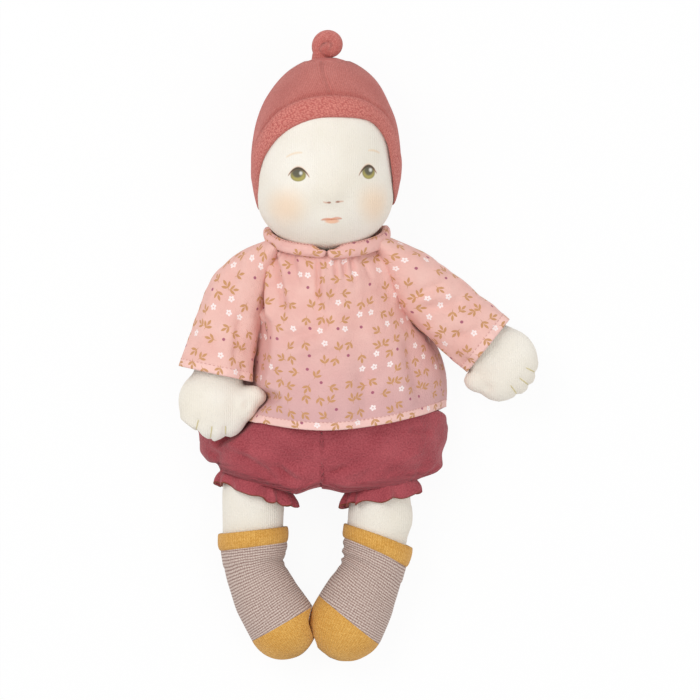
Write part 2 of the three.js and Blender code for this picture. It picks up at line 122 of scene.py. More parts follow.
def path_rows(path):
    """A path of [x, y, z, half width, half depth] as rows that start with the length so far."""
    rows, length = [], 0.0
    for before, row in zip([path[0], *path], path):
        length += math.dist(before[:3], row[:3])
        rows.append([length, *row])
    return rows


def tube_point(rows, length, turn, grow, round_end=True):
    """A point on the tube round a path, which can run on past the path's end as a round tip."""
    total = rows[-1][0]
    x, y, z, width, depth = smooth_rows(rows, length)
    ahead_x, ahead_y = smooth_rows(rows, length + 0.5)[:2]
    behind_x, behind_y = smooth_rows(rows, min(length, total) - 0.5)[:2]
    ahead = Vector((ahead_x - behind_x, ahead_y - behind_y, 0)).normalized()
    across = Vector((ahead.y, -ahead.x, 0))
    width, depth = width + grow, depth + grow
    lean = min(max(0.0, (length - total) / width), math.pi / 2) if round_end else 0.0
    centre = Vector((x, y, z)) + ahead * width * math.sin(lean)
    side = across * math.cos(turn) * width * math.cos(lean)
    return centre + side + Vector((0, 0, math.sin(turn) * depth * math.cos(lean)))


# %% [markdown]
# ## How a piece is made
# Cloth starts as a flat grid, as it does on a cutting table, and a rule then takes each point of
# the grid to its place on the doll. Its UV map keeps the millimetres of the flat cloth, so that
# knit, print and stripes follow the cloth. The stuffed pieces start from a copy of their solid,
# with the facets worn away by a voxel remesh and a few rounds of smoothing.

# %% Making pieces


def finished_piece(name, form):
    """Turns a bmesh into a shaded object at the origin."""
    mesh = bpy.data.meshes.new(name)
    form.to_mesh(mesh)
    form.free()
    mesh.shade_smooth()
    piece = bpy.data.objects.new(name, mesh)
    bpy.context.scene.collection.objects.link(piece)
    return piece


def wrapped_cloth(name, across, along, place, flat):
    """A grid bent into shape: its point (u, v), each from 0 to 1, goes to place(u, v).
    flat(u, v) is the same point on the flat cloth, for its knit, print or weave."""
    form = bmesh.new()
    uv = form.loops.layers.uv.new("cloth")
    bmesh.ops.create_grid(form, x_segments=across, y_segments=along, size=0.5)
    for face in form.faces:
        for loop in face.loops:
            loop[uv].uv = flat(loop.vert.co.x + 0.5, loop.vert.co.y + 0.5)
    for vert in form.verts:
        vert.co = Vector(place(vert.co.x + 0.5, vert.co.y + 0.5)) * MM
    bmesh.ops.remove_doubles(form, verts=form.verts, dist=0.02 * MM)
    bmesh.ops.recalc_face_normals(form, faces=form.faces)
    return finished_piece(name, form)


def even_cloth(width, length):
    """The flat cloth of a piece that is about as wide all along."""
    return lambda u, v: (u * width, v * length)


def drawn_in_cloth(place, length, from_end=True):
    """The flat cloth of a piece whose rings differ in girth. It is measured along each ring from the
    middle line, so that a print keeps its size where the cloth drops, and from the piece's end."""
    ring_count, around = 24, 120
    rings = []
    for step in range(ring_count + 1):
        ring = [place(k / around, step / ring_count) for k in range(around + 1)]
        reach = [0.0, *accumulate((a - b).length for a, b in zip(ring, ring[1:]))]
        rings.append([so_far - reach[around // 2] for so_far in reach])

    def across(u, v):
        row, column = min(int(v * ring_count), ring_count - 1), min(int(u * around), around - 1)
        one, two = (
            ring[column] + (ring[column + 1] - ring[column]) * (u * around - column)
            for ring in rings[row:row + 2]
        )
        return one + (two - one) * (v * ring_count - row)

    return lambda u, v: (across(u, v), (1 - v) * length if from_end else v * length)


def soft_copy(node, name, voxel, rounds, swell=0.0, lobes=()):
    """A copy of a node's solid, merged with round lobes, remeshed, smoothed and swollen a little,
    because smoothing shrinks it. A lobe is its centre and its half sizes."""
    form = bmesh.new()
    form.from_mesh(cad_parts[node].data)
    bmesh.ops.remove_doubles(form, verts=form.verts, dist=0.01 * MM)
    for centre, size in lobes:
        place = Matrix.Translation(Vector(centre) * MM) @ Matrix.Diagonal((*(Vector(size) * MM), 1))
        bmesh.ops.create_uvsphere(form, u_segments=24, v_segments=16, radius=1.0, matrix=place)
    rough = finished_piece(name + "_rough", form)
    remesh = rough.modifiers.new("even faces", "REMESH")
    remesh.mode = "VOXEL"
    remesh.voxel_size = voxel * MM
    bpy.context.view_layer.update()
    even = bpy.data.meshes.new_from_object(rough.evaluated_get(bpy.context.evaluated_depsgraph_get()))
    bpy.data.objects.remove(rough)
    form = bmesh.new()
    form.from_mesh(even)
    for _ in range(rounds):
        bmesh.ops.smooth_vert(
            form, verts=form.verts, factor=0.5, use_axis_x=True, use_axis_y=True, use_axis_z=True)
    form.normal_update()
    outward = {vert: vert.normal.copy() for vert in form.verts}
    for vert, normal in outward.items():
        vert.co += normal * swell * MM
        vert.co.z = max(vert.co.z, 0.05 * MM)
    return finished_piece(name, form)


def give_wall(piece, thickness):
    """A cloth wall of that thickness, laid on the inside of the grid."""
    wall = piece.modifiers.new("cloth wall", "SOLIDIFY")
    wall.thickness = thickness * MM
    wall.offset = -1
    wall.use_even_offset = False


def dress(piece, body, material, slot, *nodes):
    """Gives a piece its finish and its body, and hides the CAD parts of the nodes that it stands for. The
    slot is not used.
    """
    piece.data.materials.append(material)
    if nodes:
        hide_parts(*nodes)
    if body:
        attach(piece, body)
    print(f"{piece.name}: {len(piece.data.polygons)} faces")


# %% [markdown]
# ## Materials
# Everything on the doll is cotton: matt, with the soft edge light that loose fibres give. A shared
# last step turns a pattern into a Principled surface. Colours are written as sRGB hex values.

# %% One node at a time


def colour(code):
    """An sRGB hex colour as linear values."""
    channels = [int(code[i : i + 2], 16) / 255 for i in (1, 3, 5)]
    return [c / 12.92 if c <= 0.04045 else ((c + 0.055) / 1.055) ** 2.4 for c in channels] + [1.0]


def add_node(tree, kind, links=None, **settings):
    """Adds a shader node with its settings and inputs, and returns its outputs."""
    node = tree.nodes.new("ShaderNode" + kind)
    for key, value in settings.items():
        setattr(node, key, value)
    for socket, source in (links or {}).items():
        if isinstance(source, bpy.types.NodeSocket):
            tree.links.new(source, node.inputs[socket])
        else:
            node.inputs[socket].default_value = source
    return node.outputs


def new_material(name):
    material = bpy.data.materials.new(name)
    material.use_nodes = True
    material.node_tree.nodes.clear()
    return material, material.node_tree


def cotton_surface(tree, tint, height, relief, roughness=0.85, sheen=0.1):
    """The shared last step: tint and height are sockets, relief is in millimetres."""
    bump = add_node(tree, "Bump", {"Strength": 1.0, "Distance": relief * MM, "Height": height})
    surface = add_node(tree, "BsdfPrincipled", {
        "Base Color": tint, "Roughness": roughness, "Specular IOR Level": 0.25,
        "Sheen Weight": sheen, "Sheen Roughness": 0.5, "Normal": bump[0],
    })
    add_node(tree, "OutputMaterial", {"Surface": surface[0]})


# %% Patterns that several cloths share


def cloth_axes(tree):
    """The millimetres across and along the flat cloth."""
    uv = add_node(tree, "UVMap", uv_map="cloth")
    parts = add_node(tree, "SeparateXYZ", {0: uv[0]})
    return uv[0], parts[0], parts[1]


def place_axes(tree):
    """The place on the doll, in millimetres, for cloth with no seams to follow."""
    place = add_node(tree, "TexCoord")
    scaled = add_node(tree, "VectorMath", {0: place["Object"], "Scale": 1000.0}, operation="SCALE")
    parts = add_node(tree, "SeparateXYZ", {0: scaled[0]})
    return scaled[0], parts[0], parts[1], parts[2]


def ridges(tree, position, spacing):
    """Rounded ridges, 0 to 1, that repeat at that spacing."""
    turn = add_node(tree, "Math", {0: position, 1: math.pi / spacing}, operation="MULTIPLY")
    wave = add_node(tree, "Math", {0: turn[0]}, operation="SINE")
    return add_node(tree, "Math", {0: wave[0]}, operation="ABSOLUTE")[0]


def knit_height(tree, across, along, wale, course):
    """Stocking stitch: columns of V-shaped loops. A wale is a column's width, a course a row's height."""
    column = add_node(tree, "Math", {0: across, 1: 1 / wale}, operation="MULTIPLY")
    lean = add_node(tree, "Math", {0: column[0], 1: 1.0}, operation="PINGPONG")
    row = add_node(tree, "Math", {0: along, 1: 1 / course, 2: lean[0]}, operation="MULTIPLY_ADD")
    strands = ridges(tree, column[0], 1.0)
    loops = ridges(tree, row[0], 1.0)
    return add_node(tree, "Math", {0: strands, 1: loops}, operation="MULTIPLY")[0]


def blotches(tree, position, size, low, high, detail=2.0):
    """Uneven tone: a number from low to high that changes over about that many millimetres."""
    cloud = add_node(tree, "TexNoise", {"Vector": position, "Scale": 1 / size, "Detail": detail})
    return add_node(tree, "MapRange", {0: cloud[0], 1: 0.3, 2: 0.7, 3: low, 4: high})[0]


def two_tone(tree, share, dark, light):
    return add_node(tree, "Mix", {0: share, 6: colour(dark), 7: colour(light)}, data_type="RGBA")[2]


def product(tree, one, two):
    return add_node(tree, "Math", {0: one, 1: two}, operation="MULTIPLY")[0]


# %% [markdown]
# ### Knits
# The cap is a fine coral cotton knit and the socks are sock knit, both stocking stitch. Loops of
# such knits are usually about 0.8 mm wide, which is too fine to measure in a picture of the whole
# doll, so they are drawn a little coarser. The gaps between the loops are darker, because less
# light reaches them.

# %% Knitted cotton


def knitted_cotton(name, dark, light, wale, course, relief, sheen=0.15):
    material, tree = new_material(name)
    uv, across, along = cloth_axes(tree)
    loops = knit_height(tree, across, along, wale, course)
    fuzz = blotches(tree, uv, 1.3, -0.3, 0.3)
    uneven = blotches(tree, uv, 22.0, -0.12, 0.22)
    share = add_node(tree, "Math", {0: loops, 1: 0.65, 2: uneven}, operation="MULTIPLY_ADD")
    share = add_node(tree, "Math", {0: share[0], 1: fuzz}, operation="ADD", use_clamp=True)
    height = add_node(tree, "Math", {0: fuzz, 1: 0.5, 2: loops}, operation="MULTIPLY_ADD")
    cotton_surface(tree, two_tone(tree, share[0], dark, light), height[0], relief, sheen=sheen)
    return material


def purl_cotton(name, dark, light):
    """The reverse of the knit: short bumps in rows along the cloth."""
    material, tree = new_material(name)
    uv, _, _ = cloth_axes(tree)
    stretched = add_node(tree, "VectorMath", {0: uv, 1: (0.75, 1.25, 1.0)}, operation="MULTIPLY")
    bumps = add_node(tree, "TexVoronoi", {"Vector": stretched[0], "Scale": 1.0, "Randomness": 0.7},
                     voronoi_dimensions="2D")
    rounded = add_node(tree, "MapRange", {0: bumps["Distance"], 1: 0.1, 2: 0.65, 3: 1.0, 4: 0.0})
    fuzz = blotches(tree, uv, 1.6, -0.2, 0.2)
    # Painted shade: the colour follows the bumps and is darker in the hollows between them.
    share = add_node(tree, "Math", {0: rounded[0], 1: 0.75, 2: fuzz},
                     operation="MULTIPLY_ADD", use_clamp=True)
    cotton_surface(tree, two_tone(tree, share[0], dark, light), rounded[0], 0.3)
    return material


coral_knit = knitted_cotton("coral cotton knit", "#c0655d", "#e49389", 0.95, 1.05, 0.25, sheen=0.12)
coral_purl = purl_cotton("coral cotton knit turned out", "#bd625a", "#e8978b")
mustard_knit = knitted_cotton("mustard sock knit", "#d0953f", "#f3c06a", 1.15, 1.0, 0.22)


def striped_sock_knit():
    material, tree = new_material("striped sock knit")
    uv, across, along = cloth_axes(tree)
    wobble = blotches(tree, uv, 9.0, -0.2, 0.2)
    course = add_node(tree, "Math", {0: along, 1: wobble}, operation="ADD")
    stripes = ridges(tree, course[0], 1.35)
    # The pale stripes are the sock's own colour; between the knit's columns they are painted darker, as
    # shade.
    columns = ridges(tree, across, 1.25)
    dots = add_node(tree, "Math", {0: columns, 1: 0.5, 2: 0.5}, operation="MULTIPLY_ADD")
    pale = add_node(tree, "Math", {0: stripes, 1: dots[0]}, operation="MULTIPLY")
    speckle = blotches(tree, uv, 0.8, -0.3, 0.3)
    share = add_node(tree, "Math", {0: pale[0], 1: speckle}, operation="ADD", use_clamp=True)
    cotton_surface(tree, two_tone(tree, share[0], "#906f66", "#dccabf"), pale[0], 0.25)
    return material


striped_knit = striped_sock_knit()

# %% [markdown]
# ### Jersey skin and raspberry gauze
# The skin is a close cream jersey, so smooth that only a faint rib shows. The bloomers are double
# gauze: two thin layers tacked together, with a crinkled face.

# %% Skin and gauze


def jersey_height(tree, position, across):
    ribs = ridges(tree, across, 1.1)
    grain = blotches(tree, position, 0.9, 0.0, 1.0)
    return add_node(tree, "Math", {0: ribs, 1: grain}, operation="MULTIPLY")[0]


def jersey_share(tree, tone, height):
    """How light the jersey is: it follows a slow tone of its own and the ribs, whose grooves are painted
    darker, as shade.
    """
    slow = product(tree, tone, 0.7)
    return add_node(tree, "Math", {0: height, 1: 0.3, 2: slow}, operation="MULTIPLY_ADD")[0]


def jersey_skin():
    material, tree = new_material("cream cotton jersey")
    position, across, _, _ = place_axes(tree)
    tone = blotches(tree, position, 30.0, 0.0, 1.0)
    height = jersey_height(tree, position, across)
    tint = two_tone(tree, jersey_share(tree, tone, height), "#ece4d5", "#f8f3ea")
    cotton_surface(tree, tint, height, 0.22)
    return material


def crinkled_gauze():
    material, tree = new_material("raspberry double gauze")
    uv, _, _ = cloth_axes(tree)
    weave = blotches(tree, uv, 0.9, 0.0, 1.0, detail=1.0)
    crinkles = blotches(tree, uv, 2.6, 0.0, 1.0, detail=3.0)
    height = add_node(tree, "Math", {0: crinkles, 1: 1.6, 2: weave}, operation="MULTIPLY_ADD")
    tone = blotches(tree, uv, 16.0, -0.1, 0.35)
    share = add_node(tree, "Math", {0: weave, 1: 0.65, 2: tone}, operation="MULTIPLY_ADD", use_clamp=True)
    cotton_surface(tree, two_tone(tree, share[0], "#943a43", "#bb5b62"), height[0], 0.2, sheen=0.15)
    return material


def woven_elastic():
    material, tree = new_material("white woven elastic")
    _, _, along, _ = place_axes(tree)
    cords = ridges(tree, along, 1.0)
    # Painted shade: the grooves between the cords are darker.
    cotton_surface(tree, two_tone(tree, cords, "#d8d4cc", "#f4f1ea"), cords, 0.2, sheen=0.1)
    return material


skin = jersey_skin()
raspberry_gauze = crinkled_gauze()
elastic = woven_elastic()

# %% [markdown]
# ### Printed gauze
# The blouse is thin pink gauze with a small all-over print. This print is a plain one in the same
# colours and of the same size: ochre sprigs of three leaves, white five-petalled blossoms and plum
# berries, scattered with no repeat. A Voronoi texture gives each motif its place, its own random
# turn and its kind. A hem is a double layer, so it is lighter, and cloth over the dark bloomers
# lets some of them through.

# %% Print
MOTIF_SPACING = 7.6


def within(tree, distance, radius, edge):
    """1 inside the radius, 0 outside, with a soft edge."""
    low, high = radius - edge, radius + edge
    return add_node(tree, "MapRange", {0: distance, 1: low, 2: high, 3: 1.0, 4: 0.0})[0]


def leaf(tree, point, base, lean, length, width):
    """A pointed leaf that grows from its base at a lean, in millimetres."""
    local = add_node(tree, "Mapping", {
        0: point, "Location": (*base, 0.0), "Rotation": (0.0, 0.0, lean)}, vector_type="TEXTURE")
    parts = add_node(tree, "SeparateXYZ", {0: local[0]})
    span = add_node(tree, "MapRange", {0: parts[1], 1: 0.0, 2: length, 3: -1.0, 4: 1.0}, clamp=False)
    square = add_node(tree, "Math", {0: span[0], 1: span[0]}, operation="MULTIPLY")
    room = add_node(tree, "Math", {0: square[0], 1: -width / 2, 2: width / 2}, operation="MULTIPLY_ADD")
    away = add_node(tree, "Math", {0: parts[0]}, operation="ABSOLUTE")
    edge = add_node(tree, "Math", {0: away[0], 1: room[0]}, operation="SUBTRACT")
    return add_node(tree, "MapRange", {0: edge[0], 1: -0.06, 2: 0.1, 3: 1.0, 4: 0.0})[0]


def printed_gauze(name, dark, light, hem, sheer=None):
    """Printed gauze. hem is the height of the hem band. sheer is the tone over the dark bloomers."""
    material, tree = new_material(name)
    uv, _, along = cloth_axes(tree)
    tint = two_tone(tree, blotches(tree, uv, 14.0, 0.0, 1.0), dark, light)
    if sheer:
        rise = add_node(tree, "MapRange", {0: along, 1: 6.0, 2: 62.0, 3: 0.85, 4: 0.0})
        tint = add_node(tree, "Mix", {0: rise[0], 6: tint, 7: colour(sheer)}, data_type="RGBA")[2]
    if hem:
        band = within(tree, along, hem, 0.2)
        share = product(tree, band, 0.85)
        tint = add_node(tree, "Mix", {0: share, 6: tint, 7: colour("#f6cbc2")}, data_type="RGBA")[2]

    cells = add_node(tree, "TexVoronoi", {"Vector": uv, "Scale": 1 / MOTIF_SPACING, "Randomness": 0.62},
                     voronoi_dimensions="2D")
    offset = add_node(tree, "VectorMath", {0: uv, 1: cells["Position"]}, operation="SUBTRACT")
    luck = add_node(tree, "SeparateColor", {0: cells["Color"]})
    angle = add_node(tree, "Math", {0: luck[0], 1: TURN}, operation="MULTIPLY")
    turned = add_node(tree, "VectorRotate", {"Vector": offset[0], "Angle": angle[0]},
                      rotation_type="Z_AXIS")[0]
    parts = add_node(tree, "SeparateXYZ", {0: turned})
    mirrored = add_node(tree, "Math", {0: parts[0]}, operation="ABSOLUTE")
    half = add_node(tree, "CombineXYZ", {0: mirrored[0], 1: parts[1]})[0]
    reach = add_node(tree, "VectorMath", {0: turned}, operation="LENGTH")[1]

    sprig = leaf(tree, turned, (0.0, -0.2), 0.0, 3.6, 1.35)
    sides = leaf(tree, half, (0.1, -1.7), -0.72, 3.6, 1.35)
    stem = leaf(tree, turned, (0.0, -3.4), 0.0, 4.0, 0.35)
    sprig = add_node(tree, "Math", {0: sprig, 1: sides}, operation="MAXIMUM")[0]
    sprig = add_node(tree, "Math", {0: sprig, 1: stem}, operation="MAXIMUM")[0]
    around = add_node(tree, "Math", {0: parts[1], 1: parts[0]}, operation="ARCTAN2")
    lobes = add_node(tree, "Math", {0: around[0], 1: 2.5}, operation="MULTIPLY")
    waves = add_node(tree, "Math", {0: lobes[0]}, operation="COSINE")
    petals = add_node(tree, "Math", {0: waves[0]}, operation="ABSOLUTE")
    scalloped = add_node(tree, "Math", {0: petals[0], 1: -0.75, 2: reach}, operation="MULTIPLY_ADD")
    flower = within(tree, scalloped[0], 1.05, 0.12)
    outside_eye = within(tree, product(tree, reach, -1.0), -0.4, 0.1)
    blossom = product(tree, flower, outside_eye)
    berry = within(tree, reach, 0.85, 0.15)

    kinds = (("#c9935f", sprig, 0.0, 0.58), ("#fbeeec", blossom, 0.58, 0.76), ("#a55670", berry, 0.76, 0.9))
    for code, motif, low, high in kinds:
        above = add_node(tree, "Math", {0: luck[1], 1: low}, operation="GREATER_THAN")
        below = add_node(tree, "Math", {0: luck[1], 1: high}, operation="LESS_THAN")
        share = product(tree, product(tree, motif, 0.92), product(tree, above[0], below[0]))
        tint = add_node(tree, "Mix", {0: share, 6: tint, 7: colour(code)}, data_type="RGBA")[2]

    weave = blotches(tree, uv, 0.7, 0.0, 1.0, detail=1.0)
    crinkles = blotches(tree, uv, 5.0, 0.0, 1.0)
    height = add_node(tree, "Math", {0: crinkles, 1: 2.5, 2: weave}, operation="MULTIPLY_ADD")
    cotton_surface(tree, tint, height[0], 0.12)
    return material


sheer_print = printed_gauze("printed pink gauze of the body", "#e6b1a8", "#eebfb5", 4.6, sheer="#d6a9a9")
sleeve_print = printed_gauze("printed pink gauze of the sleeves", "#e9b6ac", "#efc2b8", 4.6)
collar_print = printed_gauze("printed pink gauze of the collar", "#e6b1a9", "#efc0b7", 0.0)


def plain_thread(name, code):
    """Twisted sewing thread: the twist shows as slanting ridges, whose grooves are painted darker, as shade.
    """
    material, tree = new_material(name)
    _, across, along, _ = place_axes(tree)
    slant = add_node(tree, "Math", {0: across, 1: along}, operation="ADD")
    twist = ridges(tree, slant[0], 0.5)
    shade = colour(code)
    # The thread's colour at four fifths: painted shade in the grooves of the twist.
    dark = [channel * 0.8 for channel in shade[:3]] + [1.0]
    tint = add_node(tree, "Mix", {0: twist, 6: dark, 7: shade}, data_type="RGBA")
    cotton_surface(tree, tint[2], twist, 0.1)
    return material


pink_thread = plain_thread("pink sewing thread", "#e3aaa1")
rose_thread = plain_thread("rose sewing thread", "#bb7a70")
straw_thread = plain_thread("straw stitching thread", "#e9dba8")
rust_thread = plain_thread("rust overlock thread", "#8d4a36")

# %% [markdown]
# ## Head
# The head is one stuffed jersey ball, a little longer than it is wide, with a small nose, full
# cheeks and a chin. The face is painted: two olive eyes under thin lids, pale brows, two nostril
# strokes, small lips and a soft blush. The relief is moved vertices, and the paint is a set of
# strokes in the material, each a bent line with its own width, because paint has no thickness.

# %% Head form
HEAD_MIDDLE_X, HEAD_AXIS_Z = 0.6, 43.0
FACE_LOW_Z, FACE_FULL_Z = 50.0, 66.0
CAP_SQUEEZE = 0.045
NOSE = (4.4, 78.5)
head = soft_copy("head", "head_form", 2.0, 10)
reliefs = [  # x, y, reach, lift
    (*NOSE, 4.5, 1.9), (4.4, 83.5, 6.0, 0.8), (-17.0, 74.0, 13.0, 1.3), (25.0, 76.0, 13.0, 1.3),
    (3.8, 58.5, 8.0, 1.2), (-13.8, 90.0, 8.0, -0.8), (22.8, 91.5, 8.0, -0.8), (3.6, 65.2, 4.5, 0.7),
]
for vertex in head.data.vertices:
    x, y, z = (value / MM for value in vertex.co)
    if z > FACE_LOW_Z:
        lift = sum(
            high * math.exp(-((x - cx) ** 2 + (y - cy) ** 2) / reach**2) for cx, cy, reach, high in reliefs)
        z += lift * smooth_step(FACE_LOW_Z, FACE_FULL_Z, z)
    held = 1 - CAP_SQUEEZE * smooth_step(119.5, 126.0, y)
    x = HEAD_MIDDLE_X + (x - HEAD_MIDDLE_X) * held
    vertex.co = Vector((x, y, HEAD_AXIS_Z + (z - HEAD_AXIS_Z) * held)) * MM

# %% Face paint


def stroke(tree, across, along, start, middle, end, width, soft):
    """A painted stroke: a bent line from start through middle to end, thickest in its middle.
    It returns 1 where the paint is."""
    half = (end[0] - start[0]) / 2
    centre = (start[0] + end[0]) / 2
    slope = (end[1] - start[1]) / (2 * half)
    at_middle = (middle[0] - centre) / half
    bend = (middle[1] - (start[1] + end[1]) / 2 - slope * (middle[0] - centre)) / (1 - at_middle**2)
    t = add_node(tree, "MapRange", {
        0: across, 1: centre - half, 2: centre + half, 3: -1.0, 4: 1.0}, clamp=False)
    square = add_node(tree, "Math", {0: t[0], 1: t[0]}, operation="MULTIPLY")
    inside = add_node(tree, "Math", {0: 1.0, 1: square[0]}, operation="SUBTRACT", use_clamp=True)
    line = add_node(tree, "Math", {0: t[0], 1: slope * half, 2: (start[1] + end[1]) / 2},
                    operation="MULTIPLY_ADD")
    arch = add_node(tree, "Math", {0: inside[0], 1: bend, 2: line[0]}, operation="MULTIPLY_ADD")
    away = add_node(tree, "Math", {0: along, 1: arch[0]}, operation="SUBTRACT")
    away = add_node(tree, "Math", {0: away[0]}, operation="ABSOLUTE")
    body = add_node(tree, "Math", {0: inside[0], 1: 0.4}, operation="POWER")
    edge = add_node(tree, "Math", {0: body[0], 1: -width / 2, 2: away[0]}, operation="MULTIPLY_ADD")
    paint = add_node(tree, "MapRange", {0: edge[0], 1: -soft, 2: soft, 3: 1.0, 4: 0.0})
    ends = add_node(tree, "MapRange", {0: inside[0], 1: 0.0, 2: 0.12, 3: 0.0, 4: 1.0})
    return product(tree, paint[0], ends[0])


def spot(tree, position, centre, size, soft):
    """A painted oval, 1 in its middle. Its size is its half width and half height."""
    local = add_node(tree, "Mapping", {
        0: position, "Location": (*centre, 0.0), "Scale": (*size, 1e6)}, vector_type="TEXTURE")
    reach = add_node(tree, "VectorMath", {0: local[0]}, operation="LENGTH")
    return add_node(tree, "MapRange", {
        0: reach[1], 1: 1 - soft, 2: 1 + soft, 3: 1.0, 4: 0.0}, interpolation_type="SMOOTHSTEP")[0]


EYES = [
    {"iris": (-13.9, 88.9), "size": (4.1, 3.2), "dark": (-14.2, 90.1), "glint": (-12.5, 90.0),
     "lid": ((-19.4, 88.5), (-14.2, 92.6), (-7.8, 87.5))},
    {"iris": (23.0, 90.5), "size": (3.3, 3.4), "dark": (23.1, 91.6), "glint": (24.0, 91.9),
     "lid": ((17.7, 88.4), (22.9, 94.0), (27.4, 89.9))},
]
BLUSHES = (((-20.3, 72.6), (8.0, 7.5)), ((26.2, 74.2), (6.8, 8.0)))
BROWS = (
    ((-20.4, 98.4), (-16.0, 100.4), (-11.5, 100.7)), ((22.6, 102.0), (25.2, 102.2), (29.0, 100.8)))
NOSTRILS = (((-0.9, 75.0), (1.3, 74.5), (3.1, 74.6)), ((5.6, 74.7), (7.6, 75.1), (10.0, 75.3)))
UPPER_LIP = (((-1.8, 65.6), (0.9, 66.1), (4.0, 65.9)), ((3.2, 65.9), (6.0, 66.6), (9.0, 66.3)))
LOWER_LIP = ((3.8, 65.1), (3.6, 1.35))


def painted_skin():
    material, tree = new_material("cream jersey with painted face")
    position, across, along, up = place_axes(tree)
    height = jersey_height(tree, position, across)
    share = jersey_share(tree, blotches(tree, position, 30.0, 0.0, 1.0), height)
    tint = two_tone(tree, share, "#ece4d5", "#f8f3ea")
    front = add_node(tree, "MapRange", {
        0: up, 1: FACE_LOW_Z, 2: FACE_FULL_Z, 3: 0.0, 4: 1.0}, interpolation_type="SMOOTHSTEP")[0]

    def paint(tint, mask, code, strength):
        share = product(tree, product(tree, mask, strength), front)
        return add_node(tree, "Mix", {0: share, 6: tint, 7: colour(code)}, data_type="RGBA")[2]

    for centre, size in BLUSHES:
        tint = paint(tint, spot(tree, position, centre, size, 0.9), "#f8cfa4", 0.5)
    for brow in BROWS:
        tint = paint(tint, stroke(tree, across, along, *brow, 0.9, 0.5), "#ecc48f", 0.5)
    for eye in EYES:
        (x, y), (wide, high) = eye["iris"], eye["size"]
        lid = eye["lid"]
        glow = stroke(tree, across, along, *[(px, py + 0.2) for px, py in lid], 1.6, 0.8)
        tint = paint(tint, glow, "#f0b98c", 0.6)
        ball = spot(tree, position, (x, y), (wide, high), 0.1)
        above_lid = stroke(tree, across, along, *[(px, py + 5.0) for px, py in lid], 10.0, 0.2)
        below_lid = add_node(tree, "Math", {0: 1.0, 1: above_lid},
                             operation="SUBTRACT", use_clamp=True)[0]
        tint = paint(tint, product(tree, ball, below_lid), "#8e8449", 0.95)
        light = spot(tree, position, (x + 0.1, y - 0.7), (wide * 0.8, high * 0.7), 0.3)
        tint = paint(tint, product(tree, light, below_lid), "#b7ab63", 0.8)
        dark = spot(tree, position, eye["dark"], (wide * 0.68, high * 0.76), 0.28)
        tint = paint(tint, product(tree, dark, below_lid), "#5d5b52", 0.9)
        tint = paint(tint, spot(tree, position, eye["glint"], (0.8, 0.9), 0.7), "#f4f2ea", 0.8)
        tint = paint(tint, stroke(tree, across, along, *lid, 1.3, 0.3), "#75503f", 0.9)
        middle = [(px + (x - px) * 0.22, py) for px, py in (lid[0], lid[2])]
        arch = ((middle[0][0], lid[0][1] + 1.9), lid[1], (middle[1][0], lid[2][1] + 2.2))
        tint = paint(tint, stroke(tree, across, along, *arch, 1.0, 0.25), "#50493c", 0.95)
    for nostril in NOSTRILS:
        tint = paint(tint, stroke(tree, across, along, *nostril, 0.6, 0.35), "#d39a7c", 0.8)
    for centre in ((2.3, 74.6), (6.8, 75.0)):
        tint = paint(tint, spot(tree, position, centre, (1.0, 0.5), 0.5), "#9a5c48", 0.75)
    tint = paint(tint, spot(tree, position, *LOWER_LIP, 0.3), "#f5bd9a", 0.85)
    for lip in UPPER_LIP:
        tint = paint(tint, stroke(tree, across, along, *lip, 0.9, 0.35), "#e08f6d", 0.8)
    tint = paint(tint, stroke(tree, across, along, (-2.4, 65.5), (3.8, 65.7), (9.4, 66.3), 0.35, 0.25),
                 "#c06f4f", 0.8)
    cotton_surface(tree, tint, height, 0.22)
    return material


dress(head, "head", painted_skin(), "skin", "head")

neck = soft_copy("neck", "neck_form", 1.2, 3)
dress(neck, "neck", skin, "skin", "neck")

HIP_Z = 27.0
LAP_FLATNESS = 0.6
torso = soft_copy("torso", "body_form", 2.5, 6)
for vertex in torso.data.vertices:  # the lap is drawn in, so that a lifted thigh has room
    x, y, z = (value / MM for value in vertex.co)
    if z > HIP_Z:
        z = HIP_Z + (z - HIP_Z) * (1 - LAP_FLATNESS * smooth_step(-30.0, -46.0, y))
        vertex.co = Vector((x, y, z)) * MM
dress(torso, "torso", skin, "skin", "torso")

# %% [markdown]
# ## Cap
# The cap is a knitted tube drawn together at the top. Its edge is turned up as a brim that runs
# round the face and on round the nape. Both lie on one soft dome, so one function gives a point of
# the dome at an angle round the head and a height, and the brim is a flat roll of cloth between
# two closed lines on it: the edge at the face and the seam to the crown.

# %% The dome under the cap
CAP_MIDDLE_X, CAP_TOP_Y, CAP_WIDEST_Y = HEAD_MIDDLE_X, 150.0, 96.0
DOME_HALF_WIDTH, DOME_HALF_DEPTH = 37.2, 41.0
KNIT_WALL = 1.8
EDGE_AND_SEAM = [  # angle and y of the edge at the face, then of the seam
    (13.9, 119.2, 8.0, 131.2), (36.5, 118.0, 32.0, 129.8), (49.0, 113.8, 50.0, 125.6),
    (58.8, 106.6, 65.0, 118.6), (64.0, 97.2, 76.0, 107.5), (69.5, 88.0, 86.0, 97.5),
    (78.5, 80.0, 98.0, 90.5), (97.0, 74.6, 116.0, 87.0), (135.0, 74.0, 142.0, 87.0),
    (180.0, 76.0, 180.0, 88.0), (225.0, 73.5, 218.0, 86.5), (260.0, 71.5, 244.0, 85.5),
    (276.0, 73.8, 259.0, 87.4), (286.0, 81.0, 274.0, 94.5), (293.0, 91.2, 286.0, 104.0),
    (306.5, 102.2, 300.0, 114.0), (326.5, 112.4, 317.0, 123.6),
    (350.0, 118.3, 341.0, 129.6),
]


def dome_shrink(y, grow=0.0):
    """How much narrower the dome is at that height than at its widest."""
    rise = max(0.0, (y - CAP_WIDEST_Y) / (CAP_TOP_Y - CAP_WIDEST_Y + grow))
    return max(0.0, 1 - rise**2.1) ** (1 / 2.08)


